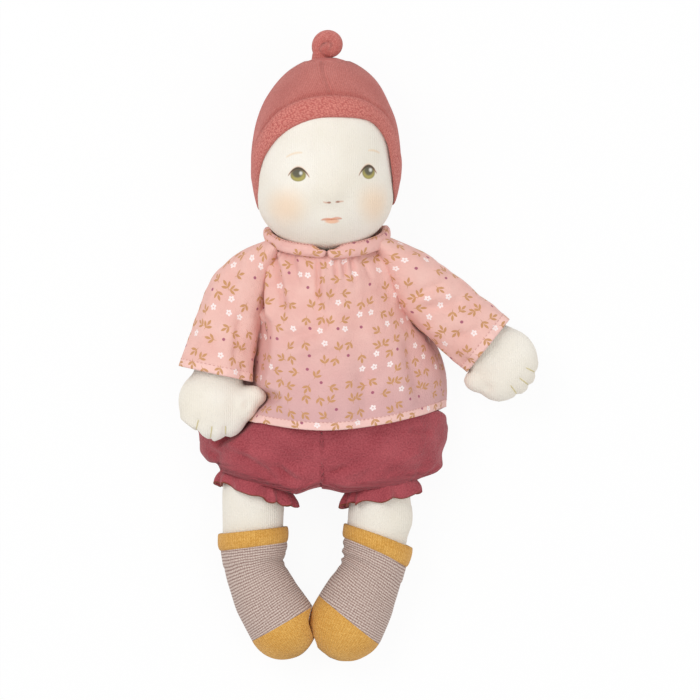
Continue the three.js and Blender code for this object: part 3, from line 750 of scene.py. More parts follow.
def dome_point(angle, y, grow):
    """A point of the cap's dome. The angle is in degrees from the middle of the front."""
    shrink = dome_shrink(y, grow)
    turn = math.radians(angle)
    z = HEAD_AXIS_Z + math.cos(turn) * (DOME_HALF_DEPTH + grow) * shrink
    below = 0.12 * max(0.0, 88.0 - y)
    middle = CAP_MIDDLE_X + 0.9 * smooth_step(125.0, 148.0, y)
    x = middle + math.sin(turn) * (DOME_HALF_WIDTH - below + grow) * shrink
    return Vector((x, y, max(z, 0.15 + 0.25 * (KNIT_WALL + 0.4 - grow))))


def round_the_edge(u):
    """The edge and the seam at the share u of the way round: (angle, y) of each."""
    count = len(EDGE_AND_SEAM)
    i = int(u * count) % count
    t = u * count - int(u * count)
    rows = []
    for k in (i - 1, i, i + 1, i + 2):
        row = list(EDGE_AND_SEAM[k % count])
        laps = 360 * (k // count)
        rows.append([row[0] + laps, row[1], row[2] + laps, row[3]])
    return [
        0.5 * (2 * b + (c - a) * t + (2 * a - 5 * b + 4 * c - d) * t**2 + (3 * b - a - 3 * c + d) * t**3)
        for a, b, c, d in zip(*rows)
    ]


# %% Crown
SEAM_LOW, SEAM_HIGH = 4.7, -12.0
SEAM_STEPS = 600
joint_line = KDTree(SEAM_STEPS)
for step in range(SEAM_STEPS):
    _, _, seam_angle, seam_y = round_the_edge(step / SEAM_STEPS)
    joint_line.insert(dome_point(seam_angle, seam_y, KNIT_WALL), step)
joint_line.balance()


def crown_place(u, v):
    """The angle and the height of a point of the crown."""
    edge_angle, edge_y, seam_angle, seam_y = round_the_edge(u)
    start = 0.88
    angle = edge_angle + (seam_angle - edge_angle) * start
    low = edge_y + (seam_y - edge_y) * start
    high = CAP_TOP_Y + KNIT_WALL + 0.57
    return angle * (1 - v) + (u * 360 + 14) * v, low + (high - low) * math.sin(v * math.pi / 2)


def from_seam(angle, y):
    """The millimetres from the front seam, which leans over toward the top."""
    seam = SEAM_LOW + (SEAM_HIGH - SEAM_LOW) * smooth_step(128.0, 152.0, y)
    return ((angle - seam + 180) % 360 - 180) * 0.66 * dome_shrink(y)


def crown_point(u, v):
    """The crown is sewn to the brim, so it dips along the brim's seam."""
    angle, y = crown_place(u, v)
    groove = -0.9 * math.exp(-((from_seam(angle, y) / 0.9) ** 2))
    place = dome_point(angle, y, KNIT_WALL)
    groove -= 1.1 * math.exp(-((joint_line.find(place)[2] / 1.8) ** 2))
    soft = 0.5 * crinkle(*place, 16.0, 3.0)
    return dome_point(angle, y, KNIT_WALL + 0.6 + (groove + soft) * min(1.0, 3 * (1 - v)))


def crown_cloth(u, v):
    """The knit of the crown slants up to its front seam from both sides."""
    angle, y = crown_place(u, v)
    away = abs(from_seam(angle, y))
    return away, 78.0 * v + 0.45 * away


crown = wrapped_cloth("cap_crown_knit", 330, 96, crown_point, crown_cloth)
give_wall(crown, KNIT_WALL - 0.6)
dress(crown, "cap", coral_knit, "coral_knit", "cap_crown")

# %% Brim


def brim_point(u, v):
    edge_angle, edge_y, seam_angle, seam_y = round_the_edge(u)
    turn = v * TURN
    share = 0.5 - 0.5 * math.cos(turn) * (0.97 + 0.03 * math.cos(turn))
    lift = math.copysign(abs(math.sin(turn)) ** 0.75, math.sin(turn))
    angle = edge_angle + (seam_angle - edge_angle) * share
    y = edge_y + (seam_y - edge_y) * share
    front = smooth_step(84.0, 100.0, y)
    base = 0.45 + KNIT_WALL * (0.35 + 0.35 * share + 0.3 * share * front)
    base -= 0.7 * (1 - share) * (1 - front)
    ripple = (0.1 + 0.3 * front) * crinkle(*dome_point(angle, y, 0), 11.0, 9.0)
    return dome_point(angle, y, base + lift * (1.0 + 0.5 * front) + ripple)


brim = wrapped_cloth("cap_brim_knit", 300, 36, brim_point, even_cloth(270.0, 28.0))
dress(brim, "cap", coral_purl, "coral_knit", "cap_brim")

# %% Knot
STEM_SHARE = 0.34
END_SHARE = 0.06


def knot_path(t):
    """The knotted end of the cap: it rises, leans over and curls round itself."""
    if t < STEM_SHARE:
        rise = t / STEM_SHARE
        return Vector((-1.9 + 0.2 * rise, 146.0 + 8.2 * rise, HEAD_AXIS_Z - 1.0)), 5.9 - 1.0 * rise
    curl = (t - STEM_SHARE) / (1 - STEM_SHARE)
    turn = math.radians(232 - 372 * curl)
    reach = 4.7 * (1 - 0.55 * curl)
    x, y = 2.1 + math.cos(turn) * reach, 158.4 + math.sin(turn) * reach
    return Vector((x, y, HEAD_AXIS_Z - 1.0 + 4.6 * curl)), 4.9 - 1.1 * curl


def knot_point(u, v):
    """A point of the knot's skin: a round tube along the path with closed ends."""
    share = min(1.0, max(0.0, (v - END_SHARE) / (1 - 2 * END_SHARE)))
    centre, radius = knot_path(share)
    ahead = (knot_path(min(1.0, share + 0.01))[0] - knot_path(max(0.0, share - 0.01))[0]).normalized()
    across = ahead.cross(Vector((0, 0, 1))).normalized()
    above = across.cross(ahead)
    lean = max(0.0, 1 - v / END_SHARE, (v - 1 + END_SHARE) / END_SHARE) * math.pi / 2
    centre = centre + ahead * radius * 0.8 * math.sin(lean) * (-1 if v < 0.5 else 1)
    radius *= math.cos(lean) + 1e-4
    turn = u * TURN
    return centre + across * math.cos(turn) * radius + above * math.sin(turn) * radius * 0.95


knot = wrapped_cloth("cap_knot_knit", 32, 90, knot_point, even_cloth(28.0, 42.0))
dress(knot, "cap", coral_knit, "coral_knit", "cap_knot")

# %% [markdown]
# ## Threads
# Stitching shows in many places: the pulled stitches that hint at fingers, the hems and the collar.
# Each thread is a thin closed tube through a few points.

# %% Threads and stitches


def thread_along(name, points, radius, sides=6):
    """One thread through the points, laid as a thin closed tube."""
    line = [Vector(p) for p in points]
    last = len(line) - 1

    def place(u, v):
        at = v * last
        i = min(int(at), last - 1)
        centre = line[i].lerp(line[i + 1], at - i)
        ahead = (line[i + 1] - line[i]).normalized()
        across = ahead.cross(Vector((0.13, 0.21, 1))).normalized()
        above = across.cross(ahead)
        end = min(1.0, 8 * v, 8 * (1 - v)) ** 0.5 if 0 < v < 1 else 0.0
        turn = u * TURN
        return centre + (across * math.cos(turn) + above * math.sin(turn)) * radius * end

    return wrapped_cloth(name, sides, max(8, 2 * last), place, even_cloth(1.0, 10.0))


def joined(name, pieces):
    """One piece from several, each with its own place in its mesh."""
    form = bmesh.new()
    for piece in pieces:
        form.from_mesh(piece.data)
        bpy.data.objects.remove(piece)
    return finished_piece(name, form)


def surface_of(piece):
    """A search tree of a piece's surface with its modifiers, in millimetres."""
    form = bmesh.new()
    form.from_object(piece, bpy.context.evaluated_depsgraph_get())
    bmesh.ops.transform(form, matrix=Matrix.Scale(1 / MM, 4), verts=form.verts)
    tree = BVHTree.FromBMesh(form)
    form.free()
    return tree


def stitch_row(name, line, stitch, gap, radius):
    """A row of running stitches along a line of points, each stitch a short thread."""
    lengths = [0.0]
    for a, b in zip(line, line[1:]):
        lengths.append(lengths[-1] + (b - a).length)

    def at(distance):
        i = max(k for k in range(len(lengths) - 1) if lengths[k] <= distance + 1e-9)
        share = (distance - lengths[i]) / max(lengths[i + 1] - lengths[i], 1e-6)
        return line[i].lerp(line[i + 1], min(1.0, share))

    count = int(lengths[-1] / (stitch + gap))
    threads = []
    for k in range(count):
        start = k * lengths[-1] / count
        points = [at(start + stitch * step / 2) for step in range(3)]
        threads.append(thread_along(f"{name}_{k}", points, radius, sides=5))
    return joined(name, threads)


# %% [markdown]
# ## Arms and sleeves
# Each arm is a stuffed tube with a wide mitten hand and a thumb. Three pulled stitches at the edge
# of the hand hint at fingers. The sleeve is a raglan: a bent tube of printed gauze that starts at
# the collar and ends in a narrow hem. The upper arm is slimmer there, to leave room for the bend.

# %% Hands
CLEARANCE = 0.4
SHOULDER_X, SHOULDER_Z = 43.5, 33.0
ARM_LENGTH = 86.0
FOREARM_SLIM, SHOULDER_SLIM = 0.1, 0.3
ARMS = {
    "right": {
        "corner": ((-0.582, -0.813), 76.0), "side": -1,
        "shoulder_y": 32.0, "spread": 15.0, "rise": 18.0,
        "lobes": [
            ((-59.3, -29.8, 45.0), (18.2, 17.4, 12.3)), ((-53.0, -37.3, 45.0), (11.8, 12.0, 10.5)),
            ((-44.5, -31.5, 46.0), (9.0, 9.5, 8.8)), ((-39.6, -27.3, 46.0), (8.8, 6.0, 6.9)),
        ],
        "stitches": [((-66.5, -39.3), (-68.2, -45.6)), ((-59.5, -42.6), (-60.4, -49.6)),
                     ((-52.4, -42.6), (-52.4, -50.2))],
        "dimple": (-41.3, -31.4),
        "sleeve": [[-27, 52, 35, 5, 15], [-38.9, 38.6, 33.5, 13.0, 17], [-47.6, 22, 35.2, 16.6, 16.2],
                   [-54, 3, 39.4, 17.7, 16.6], [-58, -15.2, 43.5, 19.4, 17]],
        "blend": ((-30, 50, 33), (-47, 20, 33)),
        "folds": [((-45, 45), (-51, 30), 2.6, -1.9), ((-52, 40), (-60, 22), 3.0, 1.0),
                  ((-60, 20), (-66, 0), 3.5, 1.2), ((-44, 18), (-48, -10), 2.8, -1.7)],
    },
    "left": {
        "corner": ((0.5, -0.866), 90.0), "side": 1,
        "shoulder_y": 36.5, "spread": 49.0, "rise": -10.0,
        "lobes": [
            ((96.6, -9.6, 26.0), (16.6, 18.6, 12.0)), ((92.5, -17.4, 26.0), (12.6, 12.6, 10.5)),
            ((82.0, -18.8, 26.0), (8.2, 6.4, 6.9)),
        ],
        "stitches": [((106.4, -12.0), (112.2, -14.8)), ((103.0, -17.4), (108.6, -21.6)),
                     ((98.3, -21.3), (102.2, -26.6))],
        "dimple": (86.5, -22.5),
        "sleeve": [[29, 54, 34, 5, 15], [43.2, 40.2, 33, 12.4, 17], [55.2, 26.8, 31.3, 16.6, 16],
                   [69, 14.5, 29.1, 17, 16.3], [87, 0, 26.4, 17.4, 17.2]],
        "blend": ((33, 50, 33), (52, 31, 33)),
        "folds": [((46, 26), (63, 33), 2.4, -1.7), ((52, 19), (72, 22), 2.4, -1.8),
                  ((50, 24), (70, 27), 2.4, 1.2), ((46, 46), (62, 36), 3.0, 1.0),
                  ((70, 4), (86, 10), 3.0, -1.4)],
    },
}


def arm_frame(arm):
    """The arm's own frame: the shoulder is its origin and the hand lies along -Y."""
    turn = Matrix.Rotation(math.radians(arm["side"] * arm["spread"]), 4, "Z")
    return Matrix.Translation((arm["side"] * SHOULDER_X, arm["shoulder_y"], SHOULDER_Z)) @ turn


def pull_in(place, arm):
    """Draws a point of the hand in where the stitches pull, and makes the thumb's dimple."""
    moved = place.copy()
    middle_z = arm["lobes"][0][0][2]
    (normal_x, normal_y), limit = arm["corner"]
    beyond = max(0.0, place.x * normal_x + place.y * normal_y - limit)
    moved.x -= normal_x * beyond * 0.85
    moved.y -= normal_y * beyond * 0.85
    for start, end in arm["stitches"]:
        start, end = Vector(start), Vector(end)
        heading = (end - start).normalized()
        flat = Vector(place[:2])
        beyond = (flat - start).dot(heading)
        aside = abs((flat - start).cross(heading))
        near = math.exp(-((aside / 1.5) ** 2)) * smooth_step(-1.5, 2.0, beyond)
        edge = near * smooth_step(3.0, 7.0, beyond)
        moved.z += (middle_z - place.z) * 0.09 * near
        moved.x -= heading.x * 1.1 * edge
        moved.y -= heading.y * 1.1 * edge
    if place.z > middle_z:
        reach = math.hypot(place.x - arm["dimple"][0], place.y - arm["dimple"][1])
        moved.z -= 1.5 * math.exp(-((reach / 2.2) ** 2))
    return moved


for side, arm in ARMS.items():
    hand = soft_copy(f"{side}_arm", f"{side}_arm_form", 1.3, 7, swell=0.35, lobes=arm["lobes"])
    frame_inverse = arm_frame(arm).inverted()
    for vertex in hand.data.vertices:
        local = frame_inverse @ (vertex.co / MM)
        slim = 1 - FOREARM_SLIM * smooth_step(-46.0, -36.0, local.y)
        slim -= SHOULDER_SLIM * smooth_step(-36.0, -8.0, local.y)
        middle = Vector((0, local.y, -local.y * arm["rise"] / ARM_LENGTH))
        local = middle + (local - middle) * slim
        vertex.co = pull_in(arm_frame(arm) @ local, arm) * MM
    dress(hand, None, skin, "skin", f"{side}_arm")

    search = surface_of(hand)
    threads = []
    for number, (start, end) in enumerate(arm["stitches"]):
        points = []
        for step in range(9):
            over = Vector((*start, 90)).lerp(Vector((*end, 90)), step / 8)
            hit = search.ray_cast(over, Vector((0, 0, -1)))
            if hit[0] is not None:
                points.append(hit[0] + Vector((0, 0, 0.05)))
        threads.append(thread_along(f"{side}_pull_{number}", points, 0.3))
    pulls = joined(f"{side}_finger_stitches", threads)
    dress(pulls, f"{side}_arm", straw_thread, "skin")
    start, end = (Vector(point) * MM for point in arm["blend"])
    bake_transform(hand)
    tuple(start)
    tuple(end)

# %% Sleeves


def sleeve_point(arm, rows, u, v, grow=0.0):
    turn = u * TURN
    loose = smooth_step(0.15, 1.0, v)
    seed = 4.0 * arm["side"]
    base = tube_point(rows, v * rows[-1][0], turn, 0.0, round_end=False)
    fold = 0.7 * math.sin(5 * turn + 1.2 + 1.5 * v + seed) + 0.4 * math.sin(8 * turn - 4 * v + seed)
    lump = 1.1 * crinkle(*base, 15.0, seed) + 0.6 * crinkle(*base, 6.5, seed + 5)
    folded = creases(base.x, base.y, arm["folds"]) if math.sin(turn) > 0 else 0.0
    outward = grow + 0.3 + loose * fold + smooth_step(0.05, 0.4, v) * lump + folded
    place = tube_point(rows, v * rows[-1][0], turn, outward, round_end=False)
    return Vector((place.x, place.y, max(place.z, 0.05)))


def sleeve_maker(arm):
    rows = path_rows(arm["sleeve"])
    return rows[-1][0], lambda u, v, grow=0.0: sleeve_point(arm, rows, u, v, grow)


for side, arm in ARMS.items():
    length, place = sleeve_maker(arm)
    sleeve = wrapped_cloth(f"{side}_sleeve_gauze", 110, 76, place, drawn_in_cloth(place, length))
    give_wall(sleeve, 0.7)
    dress(sleeve, None, sleeve_print, "pink_gauze", f"{side}_sleeve")
    start, end = (Vector(point) * MM for point in arm["blend"])
    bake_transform(sleeve)
    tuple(start)
    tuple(end)

    ring = [place(k / 96, 1 - 4.4 / length, 0.1) for k in range(97)]
    hem_stitches = stitch_row(f"{side}_sleeve_stitches", ring, 1.4, 0.9, 0.17)
    dress(hem_stitches, f"{side}_arm", pink_thread, "pink_gauze")
    edge = thread_along(f"{side}_sleeve_overlock", [place(k / 96, 0.985, -1.1) for k in range(97)], 0.45)
    dress(edge, f"{side}_arm", rust_thread, "pink_gauze")

# %% [markdown]
# ## Blouse
# The blouse is a wide bell gathered into the collar. Its folds start as fine gathers at the neck
# and run out into wide soft ones at the hem. The back lies flat on the table, and the doll's right
# arm presses the side of the bell down, so a rule lowers the cloth there to just under the arm.

# %% Blouse body
BLOUSE_ROWS = [  # y, half width, lowest z, highest z
    [57, 25, 12, 51], [51, 33, 8, 56], [43, 40, 3.5, 60], [28, 45.5, 0, 62.5], [14, 51, 0, 64.2],
    [-2, 60.5, 0, 66], [-16, 64.7, 0, 67], [-32, 64.7, 0, 67], [-50, 64.7, 0, 66.6],
]
HEM_Y, HEM_RISE = -45.0, 12.0
BLOUSE_LENGTH = 101.0
BLOUSE_FOLDS = [  # start, end, width, height
    ((-32.0, 53), (-34.6, 20), 1.9, -2.9), ((-34.2, 26), (-33.6, -4), 2.2, -2.6),
    ((-29.3, 52), (-30.6, 8), 2.0, 1.3), ((-27.4, 50), (-22.0, 17), 1.6, -1.5),
    ((-24.5, 50), (-17.5, 20), 1.9, 0.9), ((-18.0, 49), (-13.5, 30), 1.5, -0.8),
    ((-3.7, 46), (-3.2, 22), 1.5, -1.4), ((-1.0, 46), (0.5, 18), 1.9, 0.9),
    ((-3.4, 22), (0.5, 8), 3.0, -0.9), ((-25, 0.5), (0, 9.5), 4.0, -1.3), ((-22, -6), (4, 3), 4.0, 0.7),
    ((5.0, 46), (6.2, 35), 1.0, -0.9), ((9.2, 46), (11.0, 36), 1.0, -0.9),
    ((13.6, 46), (16.5, 36), 1.1, -0.7), ((20.0, 48), (25.0, 34), 1.4, -0.8),
    ((33.5, 51), (42.5, 26), 1.9, -2.0), ((41.5, 29), (52.5, 8), 2.4, -2.2),
    ((29.5, 49), (38.0, 22), 2.2, 1.1), ((20, -10), (24, -39), 5.0, -0.9),
    ((-14, -12), (-18, -40), 5.0, 0.8), ((44, 4), (52, -32), 4.0, -1.1),
    ((36, 2), (43, -34), 4.5, 0.7), ((2, -18), (0, -42), 4.0, 0.7),
]
ARM_SIDE = [  # y, x of the side of the arm and hand
    [20, -35.5], [-12, -37.0], [-20, -38.0], [-22.5, -37.0], [-25.5, -32.5], [-28, -31.0],
    [-30.5, -32.5], [-35, -37], [-39, -40], [-44, -44], [-50, -50], [-56, -57],
]


def under_arm(x, y, z, depth):
    """Lowers a point of cloth that would lie in the doll's right arm or hand. Beside them the cloth
    rises in a slope."""
    arm = ARMS["right"]
    floor = SHOULDER_Z - 17.0 + (arm["shoulder_y"] - y) * arm["rise"] / ARM_LENGTH - depth
    inner = smooth_rows(ARM_SIDE, y)[0] + depth
    wall = 13.0 * smooth_step(inner - 4.0, inner, x) + 2.6 * max(0.0, x - inner)
    above_arm = 60.0 * smooth_step(9.0, 38.0, y)
    return min(z, floor + wall + above_arm)


def blouse_point(u, v, grow=0.0):
    turn = u * TURN - math.pi / 2
    side, lift = math.cos(turn), math.sin(turn)
    top = 56.5 - 7.0 * max(0.0, lift) ** 1.5
    hem = HEM_Y + HEM_RISE * abs(side) ** 1.9
    y = top + (hem - top) * v
    width, low, high = smooth_rows(BLOUSE_ROWS, y)
    edge = max(8.0, 30 - (57 - y) * 0.75)
    front = smooth_step(-0.25, 0.35, lift)
    spread = turn + 0.16 * math.sin(2 * turn + 1.0) + 0.1 * math.sin(5 * turn)
    gathers = 0.6 * math.exp(-v / 0.13) * math.sin(44 * spread)
    waves = v**0.8 * (0.8 * math.sin(9 * spread + 0.4) + 0.45 * math.sin(17 * spread + 2.4 + 2 * v))
    across, above = power_point(turn, 1.0, 1.0, 1.0, 1.9, 3.0)
    across_mm = across * width
    lump = 1.2 * crinkle(across_mm, y, above * 40, 20.0, 1.0)
    lump += 0.4 * crinkle(across_mm, y, above * 40, 7.0, 7.0)
    folded = 2.0 * creases(across_mm, y, BLOUSE_FOLDS)
    outward = grow + front * (gathers + waves + folded + lump * smooth_step(0.02, 0.25, v)) - 0.4
    x = across * (width + outward)
    z = edge + above * ((high - edge if lift > 0 else edge - low) + outward * (1 if lift > 0 else 0))
    z = under_arm(x, y, z, 0.0)
    return Vector((x, y, max(z, 0.05)))


blouse = wrapped_cloth(
    "blouse_gauze", 320, 110, blouse_point, drawn_in_cloth(blouse_point, BLOUSE_LENGTH))
give_wall(blouse, 0.7)
dress(blouse, "torso", sheer_print, "pink_gauze", "blouse_body")
hem_line = [blouse_point(k / 300, 1 - 4.4 / BLOUSE_LENGTH, 0.1) for k in range(301)]
blouse_stitches = stitch_row("blouse_hem_stitches", hem_line, 1.4, 0.9, 0.17)
dress(blouse_stitches, "torso", pink_thread, "pink_gauze")

# %% [markdown]
# ## Collar
# The collar is a folded band in two halves that meet in a small notch in front. It is puffy,
# because the fold holds a soft edge, and a seam runs along its upper side.

# %% Collar halves
COLLAR = {"y": 49.4, "side_y": 59.5, "z": 34.0, "half_width": 31.2, "half_depth": 26.2}
COLLAR_LENGTH = 94.0
COLLAR_END = 0.035
COLLAR_HALF_HEIGHT = {-1: 3.3, 1: 4.0}
NOTCH_ANGLE, NAPE_ANGLE = 0.03, 0.965  # shares of the half turn from the front to the nape
COLLAR_SEAM_TURN = math.radians(57)


def collar_line(side, share):
    """The middle of the band at the share of its length, and the way outward there."""
    angle = math.pi * (NOTCH_ANGLE + (NAPE_ANGLE - NOTCH_ANGLE) * share)
    outward = Vector((side * math.sin(angle), 0, math.cos(angle)))
    rise = (COLLAR["side_y"] - COLLAR["y"]) * min(1.0, (1 - math.cos(angle)) * 0.95)
    x = 1 + outward.x * COLLAR["half_width"]
    return Vector((x, COLLAR["y"] + rise, COLLAR["z"] + outward.z * COLLAR["half_depth"])), outward


def collar_point(side, u, v, grow=0.0):
    share = min(1.0, max(0.0, (v - COLLAR_END) / (1 - 2 * COLLAR_END)))
    middle, outward = collar_line(side, share)
    lean = max(0.0, 1 - v / COLLAR_END, (v - 1 + COLLAR_END) / COLLAR_END) * math.pi / 2
    after, before = (collar_line(side, at)[0] for at in (min(1, share + 0.01), max(0, share - 0.01)))
    ahead = (after - before).normalized()
    middle = middle + ahead * 2.6 * math.sin(lean) * (1 if v > 0.5 else -1)
    size = math.cos(lean) * 0.999 + 0.001
    turn = u * TURN
    height = COLLAR_HALF_HEIGHT[side]
    across, above = power_point(turn, 2.5 + grow, height + grow, height + grow, 2.4, 2.2)
    notch = math.exp(-((share * COLLAR_LENGTH / (2.6 if side < 0 else 4.6)) ** 2))
    above -= max(0.0, above) * 0.75 * notch
    dimple = 0.45 * crinkle(*(middle + outward * across), 6.0, side * 3.0)
    seam = -0.4 * math.exp(-(((turn - COLLAR_SEAM_TURN) / 0.16) ** 2))
    return middle + outward * (across * size + dimple + seam) + Vector((0, above * size, 0))


for name, side in (("right", -1), ("left", 1)):
    band = wrapped_cloth(
        f"{name}_collar_band", 44, 130, lambda u, v: collar_point(side, u, v),
        lambda u, v: (u * 20.0 + 6.0, v * COLLAR_LENGTH + 20.0 * side))
    dress(band, "torso", collar_print, "pink_gauze", f"{name}_collar")
    line = [collar_point(side, COLLAR_SEAM_TURN / TURN, 0.05 + 0.6 * k / 80, 0.1) for k in range(81)]
    collar_stitches = stitch_row(f"{name}_collar_stitches", line, 1.2, 0.6, 0.17)
    dress(collar_stitches, "torso", rose_thread, "pink_gauze")

# %% [markdown]
# ## Bloomers
# The bloomers are two puffed legs of crinkled double gauze that meet in a middle seam. Elastic
# draws each leg in, and the cloth beyond the elastic stands out as a small ruffle with an
# overlocked edge.

# %% The lines of the legs
GAUZE_WALL = 1.5
CROTCH_X = -1.6
LEGS = {
    "right": {
        "side": -1, "toe_normal": (0.5, -0.866), "toe_offset": 117.0,
        "path": [[-37.9, -62, 27, 16.5, 16.5], [-38.2, -84, 24, 16.7, 16.3],
                 [-38.4, -104, 20.6, 16.2, 15.5], [-37.4, -119, 18.4, 14.3, 14.6],
                 [-30.9, -134.8, 17.2, 16.2, 15.4], [-22.7, -148.8, 17.1, 17.2, 15.7]],
        "frill": {"x": -36.3, "y": -73.0, "slope": -0.31, "half_width": 20.6},
        "wrinkle": 0.6, "cuff": {"top": -98.6, "lean": 2.1}, "lobes": (),
    },
    "left": {
        "side": 1, "toe_normal": (-0.632, -0.775), "toe_offset": 105.3,
        "path": [[29.7, -62, 27, 16.5, 16.5], [29.4, -84, 24, 17.2, 16.3],
                 [28.4, -104, 20.6, 16.6, 15.5], [25.4, -119, 18.4, 15, 14.6],
                 [18.1, -134.8, 17.2, 17.7, 15.4], [11.8, -148.0, 17.1, 19.0, 15.7]],
        "frill": {"x": 29.4, "y": -75.4, "slope": 0.18, "half_width": 20.8},
        "wrinkle": 1.5, "cuff": {"top": -101.0, "lean": -5.0},
        "lobes": [((30.4, -91, 23.5), (16.4, 18, 15))],
    },
}


def leg_middle(leg, y):
    (x0, y0, z0, _, _), (x1, y1, z1, _, _) = leg["path"][:2]
    share = (y - y0) / (y1 - y0)
    return x0 + (x1 - x0) * share, z0 + (z1 - z0) * share


def across_hip(piece):
    """Bakes the piece's place into its mesh."""
    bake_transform(piece)


def slanted(leg, x, y, share=1.0):
    """A point's y with the slant of the leg's opening."""
    away = min(max(x - leg["frill"]["x"], -21.0), 21.0)
    return y + leg["frill"]["slope"] * away * share


# %% Bloomers
WAIST_Y = -24.0
BLOOMER_LENGTH = 58.0
BLOOMER_FOLDS = [
    ((-63, -56), (-46, -67), 2.2, -2.6), ((-54, -50), (-23, -65), 3.2, 1.6),
    ((-23, -64), (-9.5, -71), 2.6, 1.4), ((-28, -63), (-13, -72.5), 1.7, -1.9),
    ((-44, -58), (-30, -68), 2.0, -1.2), ((46, -45.0), (57, -46.8), 2.0, -1.6),
    ((24, -46), (44, -46), 2.6, -0.9), ((3.2, -68.5), (11.5, -64.0), 1.7, -1.9),
    ((10, -70), (24, -64), 2.6, 0.9), ((38, -62), (52, -56), 3.0, 0.9),
    ((40, -70), (55, -62), 2.0, -1.2), ((-8, -52), (6, -53), 3.5, -0.7),
]


def bloomer_rows(leg):
    """Rows of y, middle, half width, lowest z, highest z, height of the widest line and power."""
    frill = leg["frill"]
    leg_z = leg_middle(leg, frill["y"])[1]
    near = [[-65, -1.3, 59.4, 0, 52.6, 15, 2.0], [-69.6, -1.2, 56.6, 1.0, 49.6, 18, 2.0]]
    if leg["side"] > 0:
        near = [[-65, -1.3, 64.2, 0, 52.6, 15, 2.0], [-71.0, -1.2, 61.0, 1.0, 49.4, 18, 2.0]]
    return [
        [-24, -2.9, 46.6, 2.6, 61.2, 32, 2.06], [-30, -2.4, 51.0, 2.4, 61.0, 26, 2.0],
        [-36, -1.3, 64.4, 1.9, 61.4, 15, 1.85], [-42, -1.3, 66.6, 1.5, 60.8, 12, 1.85],
        [-47.5, -1.3, 66.5, 0.5, 59.8, 12, 1.9], [-52, -1.3, 66, 0, 58.4, 12, 1.9],
        [-58, -1.3, 64.2, 0, 56, 14, 1.95], *near,
        [frill["y"], frill["x"], frill["half_width"] - 1.6, leg_z - 17.6, leg_z + 18.2, leg_z, 2.0],
    ]


def over_leg(leg, x, y):
    """The height that the cloth keeps over the thigh."""
    middle_x, middle_z = leg_middle(leg, y)
    reach = 18.6 - 0.6 * smooth_step(-66, -74, y)
    aside = abs(x - middle_x)
    return middle_z + math.sqrt(reach**2 - aside**2) if aside < reach else 0.0


def bloomer_point(leg, rows, u, v):
    turn = u * TURN - math.pi / 2
    end_y = rows[-1][0]
    y = WAIST_Y + (end_y - WAIST_Y) * (1 - (1 - v) ** 1.35)
    middle, width, low, high, edge, power = smooth_rows(rows, y)
    across, above = power_point(turn, 1.0, 1.0, 1.0, power, max(power, 2.2))
    puff = smooth_step(end_y, end_y + 6, y)
    near_frill = smooth_step(-61, -71, y)
    x = middle + across * width
    spread = turn + 0.12 * math.sin(3 * turn)
    gathers = near_frill * (0.4 + 0.6 * puff) * 0.9 * math.sin(26 * spread)
    lump = 1.1 * crinkle(x, y * 1.3, above * 30, 15.0, 2.0) + 0.5 * crinkle(x, y, above * 30, 6.0, 5.0)
    folded = 1.4 * creases(x, slanted(leg, x, y, near_frill), BLOOMER_FOLDS) if above > 0 else 0.0
    lower = 1.0 if above > 0 else 0.35
    outward = (gathers + puff * (lump + folded)) * lower - 0.4
    x = middle + across * (width + outward)
    x = max(x, CROTCH_X - 0.1) if leg["side"] > 0 else min(x, CROTCH_X + 0.1)
    z = edge + above * ((high - edge if above > 0 else edge - low) + (outward if above > 0 else 0))
    y = slanted(leg, x, y, near_frill * (1 - 0.55 * smooth_step(15.0, 1.0, abs(x - CROTCH_X))))
    if above > 0:
        z = max(z, over_leg(leg, x, y))
    z = under_arm(x, y, z, GAUZE_WALL + CLEARANCE)
    return Vector((x, y, max(z, 0.05)))


for name, leg in LEGS.items():
    rows = bloomer_rows(leg)
    half = wrapped_cloth(
        f"bloomers_{name}_gauze", 220, 90, lambda u, v: bloomer_point(leg, rows, u, v),
        drawn_in_cloth(lambda u, v: bloomer_point(leg, rows, u, v), BLOOMER_LENGTH))
    half.data.set_sharp_from_angle(angle=math.radians(50))
    give_wall(half, 0.8)
    dress(half, None, raspberry_gauze, "raspberry_gauze", f"bloomers_{name}")
    across_hip(half)

# %% Ruffles and elastics
RUFFLE_LENGTH = 7.2
TAPE_HALF_THICKNESS, TAPE_HALF_WIDTH = 0.45, 2.3


def frill_point(leg, u, v, grow=0.0):
    turn = u * TURN
    frill = leg["frill"]
    uneven = turn + 0.22 * math.sin(2 * turn + leg["side"]) + 0.08 * math.sin(5 * turn)
    wave = (0.35 + 1.25 * v) * math.sin(11 * uneven) + 0.6 * v * math.sin(19 * uneven + 2.0)
    out = 2.4 * math.sin(min(1.0, v * 1.2) * math.pi / 2) + wave + grow
    x = frill["x"] + math.cos(turn) * (frill["half_width"] - 1.9 + out)
    reach = 17.4 + out - 0.8 * v
    droop = v * (0.9 * math.sin(11 * uneven + 1.4) + 0.7 * math.sin(3 * turn + 1))
    y = slanted(leg, x, frill["y"] + 0.6 - RUFFLE_LENGTH * v + droop)
    middle_z = leg_middle(leg, frill["y"])[1]
    return Vector((x, y, max(0.6, middle_z + math.sin(turn) * reach)))


def elastic_point(leg, u, v):
    turn, around = u * TURN, v * TURN
    frill = leg["frill"]
    thick, tall = power_point(around, TAPE_HALF_THICKNESS, TAPE_HALF_WIDTH, TAPE_HALF_WIDTH, 3.0, 3.0)
    x = frill["x"] + math.cos(turn) * (frill["half_width"] - 3.2 + thick)
    middle_z = leg_middle(leg, frill["y"])[1]
    return Vector((x, slanted(leg, x, frill["y"] - 1.2 + tall), middle_z + math.sin(turn) * (16.2 + thick)))


